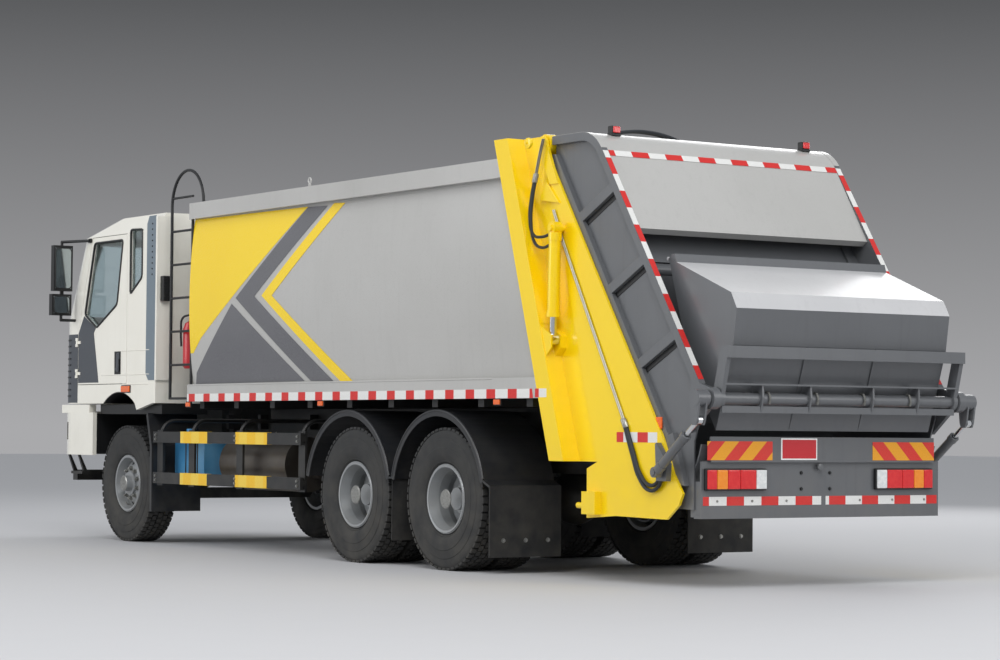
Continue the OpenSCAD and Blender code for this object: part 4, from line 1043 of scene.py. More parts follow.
    def dress_rim(self, name: str, body: str, side: int, mid: Vector, low: Vector, high: Vector,
                  steered: bool) -> None:
        """Adds nuts, a lock ring, a valve and the hub's cap to one wheel body.

        Args:
            name: Name of the wheel.
            body: Body that carries it.
            side: 1 on the left and -1 on the right.
            mid: Middle of the tyres' box.
            low: Lowest corner of the rims.
            high: Highest corner of the rims.
            steered: Whether this is a front wheel.
        """
        outer = high.y if side > 0 else low.y
        wheel_y = mid.y if steered else mid.y + side * self.twin_y
        disc = wheel_y + side * self.disc_y if steered else mid.y
        face = Vector((mid.x, disc, mid.z))
        nuts = self.nuts_ring(name + "_nuts", face, side, self.nut_ring_r, self.nut_r)
        self.put(nuts, body, Slot.RIM, "nut")
        ring = Bench.turned(name + "_lock_ring", [(self.rim_r - 0.012, 0.0), (self.rim_r + 0.004, 0.003),
                                                  (self.rim_r + 0.009, -0.004), (self.rim_r - 0.010, -0.008)],
                            Vector((mid.x, wheel_y + side * self.lock_y, mid.z)), 72)
        self.put(ring, body, Slot.RIM, "rim")
        cap_r = self.front_cap_r if steered else self.twin_cap_r
        cap = Bench.turned(name + "_cap", [(0.0005, side * 0.006), (cap_r - 0.012, side * 0.006), (cap_r - 0.004, 0.0),
                                           (cap_r - 0.004, -side * 0.004), (0.0005, -side * 0.004)],
                           Vector((mid.x, outer, mid.z)), 40)
        bolts = self.bolts(name + "_cap_bolts", [Vector((mid.x, outer, mid.z)) + Vector(
            (math.sin(a) * (cap_r - 0.02), 0, math.cos(a) * (cap_r - 0.02)))
            for a in [math.tau * i / 8 for i in range(8)]], (0, side, 0), 0.006)
        self.put(Bench.join(name + "_hub_cap", [cap, bolts]), body, Slot.RIM, "nut")
        valve = Bench.tube(name + "_valve", [face + Vector((0.0, side * 0.012, -0.20)),
                                             face + Vector((0.0, side * 0.04, -0.195)),
                                             face + Vector((0.0, side * 0.055, -0.175))], 0.005)
        self.put(valve, body, Slot.RIM, "nut")


@dataclass
class Cab(Assembly):
    """Seals, lamps, mirrors' glass, trims, wipers, the doors' furniture and the seats.

    Attributes:
        window: Corners of a door's window as (offset from the front axle, height).
        quarter: Corners of the window behind the door.
        corner_r: Radius of the cab's front corners.
        slat_z: Heights of the slats in the corner panels.
        mirror_x: Place of the mirrors' glass.
        seat_y: Reach from the middle of the cab to a seat's middle.
    """

    window: tuple = ((-0.067, 2.820), (0.556, 2.820), (0.758, 2.145), (0.496, 2.010), (0.047, 2.220))
    quarter: tuple = ((-0.229, 2.906), (-0.479, 2.896), (-0.480, 2.452), (-0.232, 2.303))
    corner_r: float = 0.4
    slat_z: tuple = (1.36, 1.42, 1.48, 1.54, 1.60, 1.66, 1.72, 1.78, 1.84, 1.90)
    mirror_x: float = 4.704
    seat_y: float = 0.62

    def side(self, outline: Iterable[Point], y: float) -> list[Vector]:
        """Puts an outline given from the front axle on a plane beside the cab."""
        return [Vector((self.front_axle + x, y, z)) for x, z in outline]

    def seals(self) -> None:
        """Lays black rubber seals round the glass."""
        seal = Bench.outline_tube("left_window_seal", self.side(self.window, self.cab_y), 0.011)
        self.put(Bench.mirrored(seal, "right_window_seal"), "right_door", Slot.GRILLE, "black")
        self.put(seal, "left_door", Slot.GRILLE, "black")
        self.pair(Bench.outline_tube("left_quarter_seal", self.side(self.quarter, self.cab_y), 0.011),
                  "cab", Slot.GRILLE, "black")

    def doors(self) -> None:
        """Adds the handles, their recesses and the creases."""
        fa, y = self.front_axle, self.cab_y
        cup = Bench.plate("left_handle_cup", self.side(((-0.045, 1.560), (0.088, 1.560), (0.092, 1.777),
                                                        (-0.041, 1.777)), y - 0.001), (0, 0.003, 0))
        lever = Bench.join("left_handle_lever", [
            Bench.block("grip", (fa - 0.022, y + 0.004, 1.585), (fa + 0.012, y + 0.024, 1.755), 0.007, 3),
            Bench.block("boss", (fa - 0.030, y + 0.001, 1.700), (fa + 0.020, y + 0.016, 1.765), 0.006, 3),
            Bench.bar("lock", (fa + 0.055, y + 0.001, 1.610), (fa + 0.055, y + 0.009, 1.610), 0.013, 20, 0.002)])
        ridges = [Bench.bar(f"ridge{i}", (a + fa, y - 0.001, z), (b + fa, y - 0.001, z), 0.006, 12)
                  for i, (a, b, z) in enumerate(((-0.165, -0.055, 1.780), (-0.165, 0.375, 1.557)))]
        shell = [Bench.bar(f"crease{i}", (a + fa, y - 0.001, z), (b + fa, y - 0.001, z), 0.006, 12)
                 for i, (a, b, z) in enumerate(((-0.65, -0.180, 1.780), (-0.65, -0.180, 1.557),
                                                (-0.65, -0.09, 1.4670)))]
        self.pair(Bench.join("left_crease", shell), "cab", Slot.WHITE, "white")
        for piece, slot, finish in ((cup, Slot.GRILLE, "black"), (lever, Slot.GRILLE, "trim"),
                                    (Bench.join("left_ridge", ridges), Slot.WHITE, "white")):
            self.put(Bench.mirrored(piece, piece.name.replace("left", "right")), "right_door", slot, finish)
            self.put(piece, "left_door", slot, finish)

    def corner_panels(self) -> None:
        """Covers the cab's front corners in dark trim, cut at the door's front edge."""
        fa, y = self.front_axle, self.cab_y
        door = Bench.plate("left_door_panel", self.side(((0.776, 2.130), (0.512, 2.006), (0.555, 1.963),
                                                         (0.438, 1.490), (0.893, 1.490), (0.893, 1.970)), y - 0.001),
                           (0, 0.004, 0))
        self.put(Bench.mirrored(door, "right_door_panel"), "right_door", Slot.GRILLE, "trim")
        self.put(door, "left_door", Slot.GRILLE, "trim")
        radius = self.corner_r
        path = [(fa + 0.908, y), (fa + 0.97, y)]
        path += [(self.nose - 0.020 - radius + radius * math.sin(math.radians(a)),
                  y - radius + radius * math.cos(math.radians(a))) for a in range(0, 76, 5)]
        outer = [(x + 0.004 * (x - fa - 1.0 > 0), w + 0.003) for x, w in path]
        wrap = Bench.plate("left_corner_panel", [Vector((x, w, 1.300)) for x, w in outer]
                           + [Vector((x - 0.004, w - 0.010, 1.300)) for x, w in reversed(outer)], (0, 0, 0.66))
        self.pair(Bench.smooth(wrap), "cab", Slot.GRILLE, "trim")
        slats = [Bench.plate(f"slat{i}", [Vector((x, w + 0.001, z)) for x, w in outer[3:]]
                             + [Vector((x - 0.004, w + 0.007, z)) for x, w in reversed(outer[3:])], (0, 0, 0.012))
                 for i, z in enumerate(self.slat_z)]
        self.pair(Bench.join("left_corner_slats", slats), "cab", Slot.GRILLE, "black")

    def fairings(self) -> None:
        """Adds the rear corner's side trims with their rivets, and the intake's grille."""
        y = self.cab_y
        trim = Bench.plate("left_side_trim", [Vector((x, y - 0.001, z)) for x, z in
                                              ((2.990, 1.500), (3.120, 1.500), (3.175, 1.560), (3.175, 2.940),
                                               (3.130, 3.010), (2.990, 3.010))], (0, 0.005, 0))
        self.pair(trim, "cab", Slot.GRILLE, "fairing")
        rivets = self.bolts("left_trim_rivets", [(3.06, y + 0.004, 2.47 + 0.0517 * i) for i in range(10)],
                            (0, 1, 0), 0.006)
        self.pair(rivets, "cab", Slot.GRILLE, "black")
        vent = [Bench.block("vent", (2.880, 1.13, 2.22), (2.943, 1.22, 2.45), 0.008)]
        vent += [Bench.block(f"fin{i}", (2.874, 1.135, 2.235 + i * 0.026), (2.882, 1.215, 2.247 + i * 0.026), 0.002)
                 for i in range(8)]
        self.put(Bench.join("intake_vent", vent), "cab", Slot.GRILLE, "black")

    def lamps(self) -> None:
        """Adds side repeaters, headlamps, indicators and fog lamps, and the roof's hatch and aerial."""
        fa, y = self.front_axle, self.cab_y
        self.pair(Bench.block("left_side_lamp_base", (fa - 0.266, y - 0.002, 1.387), (fa - 0.071, y + 0.006, 1.458),
                              0.003), "cab", Slot.GRILLE, "black")
        self.pair(Bench.block("left_side_lamp", (fa - 0.258, y + 0.004, 1.394), (fa - 0.079, y + 0.016, 1.451),
                              0.006, 3), "cab", Slot.GRILLE, "marker")
        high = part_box("front_bumper")[1]
        head = Bench.block("left_headlamp", (high.x - 0.035, 0.80, 0.955), (high.x - 0.004, 1.10, 1.135), 0.018, 4)
        self.pair(head, "chassis", Slot.WHITE, "lens_white")
        turn = Bench.block("left_indicator", (high.x - 0.035, 0.62, 0.985), (high.x - 0.006, 0.785, 1.105), 0.014, 3)
        self.pair(turn, "chassis", Slot.WHITE, "lens_amber")
        fog = Bench.bar("left_fog_lamp", (high.x - 0.03, 0.70, 0.880), (high.x - 0.002, 0.70, 0.880), 0.055, 32, 0.006)
        self.pair(fog, "chassis", Slot.WHITE, "lens_white")
        hatch = [Bench.block("hatch", (fa - 0.35, -0.35, 3.034), (fa + 0.35, 0.35, 3.060), 0.012, 3),
                 Bench.block("antenna", (fa + 0.29, 0.60, 3.034), (fa + 0.44, 0.70, 3.066), 0.012, 3)]
        self.put(Bench.join("roof_hatch", hatch), "cab", Slot.GRILLE, "black")

    def mirrors(self) -> None:
        """Sets silvered glass in the mirror housings, with a rim round each."""
        back = self.mirror_x
        for part, (y0, y1, z0, z1) in (("upper", (1.305, 1.470, 2.400, 2.790)),
                                       ("lower", (1.318, 1.480, 2.160, 2.325))):
            glass = Bench.block(f"left_{part}_mirror_glass", (back - 0.004, y0, z0), (back + 0.004, y1, z1), 0.003)
            self.pair(glass, "cab", Slot.GRILLE, "mirror")
            rim = Bench.outline_tube(f"left_{part}_mirror_rim", [Vector((back, a, b)) for a, b in
                                                                 ((y0, z0), (y1, z0), (y1, z1), (y0, z1))], 0.007)
            self.pair(rim, "cab", Slot.GRILLE, "black")

    def front(self) -> None:
        """Adds the grille's bars, the bumper's shelf, black sheets of painted shade under the cab, behind the bumper
        and in the front wheel arch, the blank plate and the wipers.
        """
        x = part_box("front_panel")[1].x
        bars = [Bench.block(f"bar{i}", (x - 0.012, -0.70, 1.375 + i * 0.118), (x, 0.70, 1.389 + i * 0.118), 0.003)
                for i in range(5)]
        self.put(Bench.join("grille_bars", bars), "cab", Slot.GRILLE, "nut")
        low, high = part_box("front_bumper")
        parts = [Bench.block(f"shelf{i}", a, b, 0.004) for i, (a, b) in enumerate((
            ((low.x + 0.10, 1.16, high.z - 0.004), (5.03, high.y - 0.004, 1.281)),
            ((low.x + 0.10, -high.y + 0.004, high.z - 0.004), (5.03, -1.16, 1.281)),
            ((5.10, -0.86, high.z - 0.004), (high.x - 0.004, 0.86, 1.221))))]
        self.put(Bench.join("bumper_shelf", parts), "chassis", Slot.WHITE, "white")
        # black sheets of painted shade: under the cab's sides and behind the bumper's back face
        dark = [Bench.block("under_cab_painted_shade", (2.98, 0.70, 1.19), (4.29, 1.17, 1.282), 0.004),
                Bench.block("under_cab_painted_shade", (2.98, -1.17, 1.19), (4.29, -0.70, 1.282), 0.004),
                Bench.block("bumper_back_painted_shade", (low.x + 0.055, 0.46, low.z + 0.01), (low.x + 0.060, 1.206, high.z - 0.01)),
                Bench.block("bumper_back_painted_shade", (low.x + 0.055, -1.206, low.z + 0.01), (low.x + 0.060, -0.46, high.z - 0.01))]
        self.put(Bench.join("cab_painted_shade", dark), "chassis", Slot.GRILLE, "black")
        # black sheet of painted shade inside the front wheel arch
        arc = [(3.744 + radius * math.cos(math.radians(a)), 0.800 + radius * math.sin(math.radians(a)))
               for radius, turn in ((0.5965, 1), (0.590, -1)) for a in range(56, 125, 4)[::turn]]
        roof = Bench.plate("arch_painted_shade", [Vector((x, -1.235, z)) for x, z in arc], (0, 2.47, 0))
        self.put(Bench.smooth(roof), "cab", Slot.GRILLE, "black")
        plate = Bench.block("front_plate", (x - 0.002, -0.22, 1.06), (x, 0.22, 1.17), 0.0008)
        self.put(plate, "chassis", Slot.WHITE, "white_line")
        for index, foot in enumerate((0.55, -0.05)):
            arm = [Bench.tube(f"arm{index}", [(5.176, foot, 2.075), (5.178, foot - 0.14, 2.30),
                                              (5.150, foot - 0.27, 2.50)], 0.006),
                   Bench.tube(f"blade{index}", [(5.173, foot - 0.20, 2.20), (5.148, foot - 0.27, 2.50),
                                                (5.110, foot - 0.31, 2.72)], 0.008),
                   Bench.bar(f"pivot{index}", (5.150, foot, 2.07), (5.186, foot, 2.078), 0.016, 20, 0.003)]
            self.put(Bench.join(f"wiper_{index}", arm), "cab", Slot.GRILLE, "black")

    def seat(self, name: str, y: float) -> None:
        """Makes one stuffed seat with a bolstered cushion, back and headrest.

        Args:
            name: Name of the seat.
            y: Middle of the seat.
        """
        parts = []
        for part, low, high in (("cushion", (3.24, y - 0.25, 1.655), (3.84, y + 0.25, 1.795)),
                                ("back", (3.20, y - 0.24, 1.80), (3.33, y + 0.24, 2.42)),
                                ("head", (3.20, y - 0.14, 2.46), (3.30, y + 0.14, 2.63))):
            pad = Bench.block(f"{name}_{part}", low, high)
            Bench.edit(pad)
            bpy.ops.mesh.subdivide(number_cuts=5)
            Bench.done()
            middle = (Vector(low) + Vector(high)) / 2
            half = (Vector(high) - Vector(low)) / 2
            flat = min(range(3), key=lambda i: half[i])
            for vertex in pad.data.vertices:
                ratio = [(vertex.co[i] - middle[i]) / half[i] for i in range(3)]
                rest = [r for i, r in enumerate(ratio) if i != flat]
                crown = 1 - 0.35 * max(abs(r) for r in rest) ** 4
                bolster = 0.18 * abs(ratio[1]) ** 3 if flat != 1 else 0
                vertex.co[flat] = middle[flat] + half[flat] * ratio[flat] * (crown - 0.10 + bolster)
                seam = abs(abs(ratio[1]) - 0.6) < 0.1
                if seam:
                    vertex.co[flat] -= half[flat] * 0.10 * math.copysign(1, ratio[flat])
                for i in range(3):
                    if i != flat:
                        vertex.co[i] = middle[i] + (vertex.co[i] - middle[i]) * (1 - 0.03 * abs(ratio[flat]))
            swell = pad.modifiers.new("rounding", "SUBSURF")
            swell.levels = swell.render_levels = 2
            Bench.clear()
            bpy.context.view_layer.objects.active = pad
            pad.select_set(True)
            bpy.ops.object.modifier_apply(modifier=swell.name)
            parts.append(Bench.smooth(pad, 60))
        seat = Bench.join(name, parts)
        self.put(seat, "cab", Slot.SEAT, "cloth")
        base = Bench.join(name + "_base", [
            Bench.block("box", (3.30, y - 0.22, 1.442), (3.78, y + 0.22, 1.66), 0.02, 3),
            Bench.bar("post_a", (3.25, y - 0.06, 2.38), (3.25, y - 0.06, 2.52), 0.007, 12),
            Bench.bar("post_b", (3.25, y + 0.06, 2.38), (3.25, y + 0.06, 2.52), 0.007, 12)])
        self.put(base, "cab", Slot.DASH, "dash")
        if y > 0:
            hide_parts("seats")

    def build(self) -> None:
        """Builds everything on the cab."""
        self.seals()
        self.doors()
        self.corner_panels()
        self.fairings()
        self.lamps()
        self.mirrors()
        self.front()
        self.seat("left_seat", self.seat_y)
        self.seat("right_seat", -self.seat_y)


@dataclass
class Chassis(Assembly):
    """Sleeves on the side guards, tank straps and caps, mudguard lips, bolts, markers and the extinguisher.

    Attributes:
        sleeve_x: Ends of the sleeves along the side guards.
        post_x: Rear edges of the side guards' posts.
        post_half: Half the width of a post.
        lip_r: Radius of the mudguards' lip.
        frame_y: Outer face of the frame rails.
        marker_x: Places of the side markers.
    """

    sleeve_x: tuple = ((1.944, 2.464), (0.844, 1.414))
    post_x: tuple = (0.264, 1.364, 2.274, 2.904)
    post_half: float = 0.055
    lip_r: float = 0.668
    frame_y: float = 0.43
    marker_x: tuple = (2.300, -0.081, -2.700)

    def sleeves(self) -> None:
        """Wraps reflective sleeves round both rails of the side guards."""
        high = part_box("side_guards")[1]
        for index, (x0, x1) in enumerate(self.sleeve_x):
            parts = []
            for z0, z1 in ((0.560, 0.660), (0.930, 1.030)):
                parts.append(Bench.block("sleeve", (x0, high.y - 0.047, z0 - 0.002),
                                         (x1, high.y + 0.002, z1 + 0.002), 0.002))
            self.pair(Bench.join(f"left_sleeve_{index}", parts), "chassis", Slot.GUARD, "tape_yellow")
        feet = [(x + self.post_half, high.y, z) for x in self.post_x for z in (0.59, 0.63, 0.96, 1.00)]
        feet = [f for f in feet if not any(x0 < f[0] < x1 for x0, x1 in self.sleeve_x)]
        self.pair(self.bolts("left_guard_bolts", feet, (0, 1, 0), 0.011), "chassis", Slot.GUARD, "nut")

    def tanks(self) -> None:
        """Adds straps and caps to the tanks."""
        low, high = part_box("urea_tank")
        cap = Bench.join("urea_cap", [
            Bench.bar("neck", (high.x - 0.12, high.y - 0.10, high.z - 0.012),
                      (high.x - 0.12, high.y - 0.10, high.z + 0.03), 0.034, 32, 0.004),
            Bench.bar("cap", (high.x - 0.12, high.y - 0.10, high.z + 0.02),
                      (high.x - 0.12, high.y - 0.10, high.z + 0.058), 0.043, 12, 0.006)])
        self.put(cap, "chassis", Slot.BLUE, "blue")
        bands = []
        for x in (low.x + 0.13, high.x - 0.22):
            bands.append(Bench.outline_tube("band", [Vector((x, y, z)) for y, z in
                                                     ((low.y + 0.02, low.z), (high.y, low.z), (high.y, high.z),
                                                      (low.y + 0.02, high.z))], 0.008))
        self.put(Bench.join("urea_straps", bands), "chassis", Slot.GUARD, "guard")
        low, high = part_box("fuel_tank")
        straps = []
        for x in (low.x + 0.25, (low.x + high.x) / 2, high.x - 0.25):
            straps.append(Bench.plate("strap", [Vector((x - 0.03, y, z)) for y, z in
                                                ((low.y - 0.003, low.z + 0.06), (low.y - 0.003, high.z - 0.06),
                                                 (low.y + 0.004, high.z - 0.06), (low.y + 0.004, low.z + 0.06))],
                                      (0.06, 0, 0)))
        self.put(Bench.join("fuel_straps", straps), "chassis", Slot.GUARD, "guard")
        cap = Bench.join("fuel_cap", [
            Bench.bar("neck", (high.x - 0.22, low.y + 0.16, high.z - 0.015),
                      (high.x - 0.22, low.y + 0.16, high.z + 0.03), 0.050, 32, 0.004),
            Bench.bar("cap", (high.x - 0.22, low.y + 0.16, high.z + 0.02),
                      (high.x - 0.22, low.y + 0.16, high.z + 0.055), 0.062, 16, 0.006)])
        self.put(cap, "chassis", Slot.ALLOY, "alloy")

    def mudguards(self) -> None:
        """Rolls a lip round each mudguard's outer edge and bolts on the flaps."""
        for name, x in (("mid", self.mid_axle + 0.09), ("rear", self.rear_axle + 0.09)):
            points = [(x + self.lip_r * math.cos(math.radians(a)), 1.234,
                       self.axle_z + self.lip_r * math.sin(math.radians(a))) for a in range(14, 167, 8)]
            self.pair(Bench.tube(f"left_{name}_lip", points, 0.012), "chassis", Slot.ARCH, "arch")
        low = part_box("mud_flaps")[0]
        places = [(low.x, y, 0.25) for y in (0.72, 0.92, 1.12)]
        self.pair(self.bolts("left_flap_bolts", places, (-1, 0, 0), 0.014), "chassis", Slot.FLAP, "nut")

    def markers(self) -> None:
        """Hangs the amber side markers under the sill."""
        for index, x in enumerate(self.marker_x):
            base = Bench.block(f"left_marker_base_{index}", (x - 0.05, self.body_y - 0.020, 1.248),
                               (x + 0.05, self.body_y - 0.006, 1.300), 0.003)
            self.pair(base, "chassis", Slot.GRILLE, "black")
            lens = Bench.block(f"left_marker_{index}", (x - 0.04, self.body_y - 0.010, 1.254),
                               (x + 0.04, self.body_y + 0.004, 1.292), 0.005, 3)
            self.pair(lens, "chassis", Slot.GRILLE, "marker")

    def rails(self) -> None:
        """Adds rows of frame bolts, and the extinguisher with its bracket behind the cab."""
        feet = [(x, self.frame_y, z) for x in (2.15, 1.25, 0.45, -0.15, -1.05, -1.5, -2.4, -2.9)
                for z in (0.90, 0.96, 1.02)]
        self.pair(self.bolts("left_frame_bolts", feet, (0, 1, 0), 0.013), "chassis", Slot.CHASSIS, "nut")
        bottle = Bench.turned("extinguisher", [(0.0005, 0.0), (0.055, 0.0), (0.070, 0.02), (0.070, 0.36), (0.052, 0.41),
                                               (0.020, 0.43), (0.018, 0.47), (0.0005, 0.47)], (0, 0, 0), 40)
        bottle.data.transform(Matrix.Translation((2.55, 1.10, 1.60)) @ Matrix.Rotation(math.radians(90), 4, "X"))
        self.put(bottle, "chassis", Slot.SILVER, "red")
        head = Bench.join("extinguisher_head", [
            Bench.bar("valve", (2.55, 1.10, 2.06), (2.55, 1.10, 2.11), 0.016, 20, 0.003),
            Bench.tube("horn", [(2.55, 1.115, 2.085), (2.57, 1.17, 2.06), (2.59, 1.180, 1.95),
                                (2.59, 1.175, 1.80)], 0.010),
            Bench.block("clamp_a", (2.314, 1.085, 1.72), (2.50, 1.115, 1.75), 0.003),
            Bench.block("clamp_b", (2.314, 1.085, 1.92), (2.50, 1.115, 1.95), 0.003)])
        self.put(head, "chassis", Slot.GUARD, "guard")

    def build(self) -> None:
        """Builds everything on the chassis."""
        self.sleeves()
        self.tanks()
        self.mudguards()
        self.markers()
        self.rails()


@dataclass
class LoadBody(Assembly):
    """Vinyl stripes, tape, trims and the rear frame's fittings on the load body.

    Attributes:
        bulge_r: Radius of the side walls' outward curve.
        bulge_z: Height of the widest place.
        half: Half-width at the widest place.
        slits: Number of slits that let a film bend to the wall.
        slit_z: Height of the lowest slit.
        slit_step: Spacing of the slits.
        front_x: Front end of the side walls.
        datum: Place that the stripes' corners are measured back from.
        over: How far a film on top of another stands off the wall.
        hinge: Place of the tailgate's hinge as (x, z).
    """

    bulge_r: float = 5.501
    bulge_z: float = 2.190
    half: float = 1.238
    slits: int = 32
    slit_z: float = 1.46
    slit_step: float = 0.0465
    front_x: float = 2.312
    datum: float = 3.754
    over: float = 0.0032
    hinge: tuple = (-3.096, 3.150)

    def skin(self, z: float) -> float:
        """Gives the half-width of the side wall at a height."""
        return self.half - self.bulge_r + math.sqrt(self.bulge_r ** 2 - (z - self.bulge_z) ** 2)

    def vinyl(self, name: str, outline: Sequence[Point], finish: str, lift: float = 0.0022) -> None:
        """Cuts a flat film, slits it at many heights and lays it on the curved side.

        Args:
            name: Name of the film.
            outline: Corners as (x, z).
            finish: Key of the finish.
            lift: How far the film stands off the wall.
        """
        film = Bench.plate(name, [Vector((x, 0, z)) for x, z in outline], (0, -0.0012, 0))
        for step in range(self.slits):
            z = self.slit_z + step * self.slit_step
            Bench.edit(film)
            bpy.ops.mesh.bisect(plane_co=(0, 0, z), plane_no=(0, 0, 1))
            Bench.done()
        for vertex in film.data.vertices:
            vertex.co.y += self.skin(vertex.co.z) + lift
        self.pair(film, "chassis", Slot.SILVER, finish)

    def stripes(self) -> None:
        """Lays the yellow field, the grey arrow and wedge, and the yellow arrow."""
        front, s = self.front_x, self.datum
        self.vinyl("left_yellow_field", [(front, 2.928), (s - 3.500, 2.910), (s - 1.661, 1.864), (s - 1.495, 1.730),
                                         (front, 1.730)][::-1], "yellow")
        self.vinyl("left_grey_arrow", [(s - 3.502, 2.907), (s - 2.324, 2.192), (s - 3.576, 1.461), (s - 3.947, 1.457),
                                       (s - 2.663, 2.194), (s - 3.834, 2.898)], "vinyl_grey", self.over)
        self.vinyl("left_grey_wedge", [(s - 2.251, 2.145), (s - 1.533, 1.556), (s - 1.500, 1.456), (s - 3.471, 1.462)],
                   "vinyl_grey", self.over)
        self.vinyl("left_yellow_arrow", [(s - 3.936, 2.911), (s - 2.792, 2.196), (s - 4.059, 1.455), (s - 4.260, 1.453),
                                         (s - 2.973, 2.189), (s - 4.118, 2.903)], "yellow", self.over)

    def sill(self) -> None:
        """Lays reflective tape along the sill and post, and adds the rails' beads and the lifting eyes."""
        y = self.body_y
        tape = Bench.plate("left_sill_tape", [Vector((x, y - 0.0002, z)) for x, z in
                                              ((2.314, 1.300), (2.314, 1.368), (-3.165, 1.368), (-3.180, 1.300))],
                           (0, 0.0012, 0))
        self.pair(tape, "chassis", Slot.SILVER, "tape_sill")
        foot = Bench.block("left_post_tape", (-3.350, y - 0.0002, 1.305), (-3.205, y + 0.0012, 1.368), 0.0004)
        self.pair(foot, "chassis", Slot.YELLOW, "tape_sill")
        lip = Bench.block("left_sill_bead", (-2.640, y - 0.006, 1.440), (2.314, y + 0.004, 1.452), 0.003)
        self.pair(lip, "chassis", Slot.SILVER, "silver")
        rail = Bench.block("left_top_bead", (-2.690, y - 0.006, 2.926), (2.314, y + 0.004, 2.938), 0.003)
        self.pair(rail, "chassis", Slot.SILVER, "silver")
        eye = [Bench.bar("eye", (0.15, y - 0.012, 3.070), (0.15, y - 0.012, 3.102), 0.012, 16, 0.002),
               Bench.tube("ring", [(0.15 + 0.022 * math.cos(a * math.tau / 8), y - 0.012,
                                    3.118 + 0.022 * math.sin(a * math.tau / 8)) for a in range(8)], 0.006, closed=True)]
        self.pair(Bench.join("left_lift_eye", eye), "chassis", Slot.SILVER, "silver")

    def rear_frame(self) -> None:
        """Caps the tailgate's hinge and gives it a grease nipple."""
        y, (x, z) = self.body_y, self.hinge
        caps = Bench.join("left_hinge_cap", [
            Bench.bar("cap", (x, y - 0.012, z), (x, y + 0.012, z), 0.040, 40, 0.005),
            Bench.bar("nipple", (x, y + 0.010, z), (x, y + 0.024, z), 0.007, 10)])
        self.pair(caps, "tailgate", Slot.YELLOW, "yellow")

    def build(self) -> None:
        """Builds everything on the load body."""
        self.stripes()
        self.sill()
        self.rear_frame()


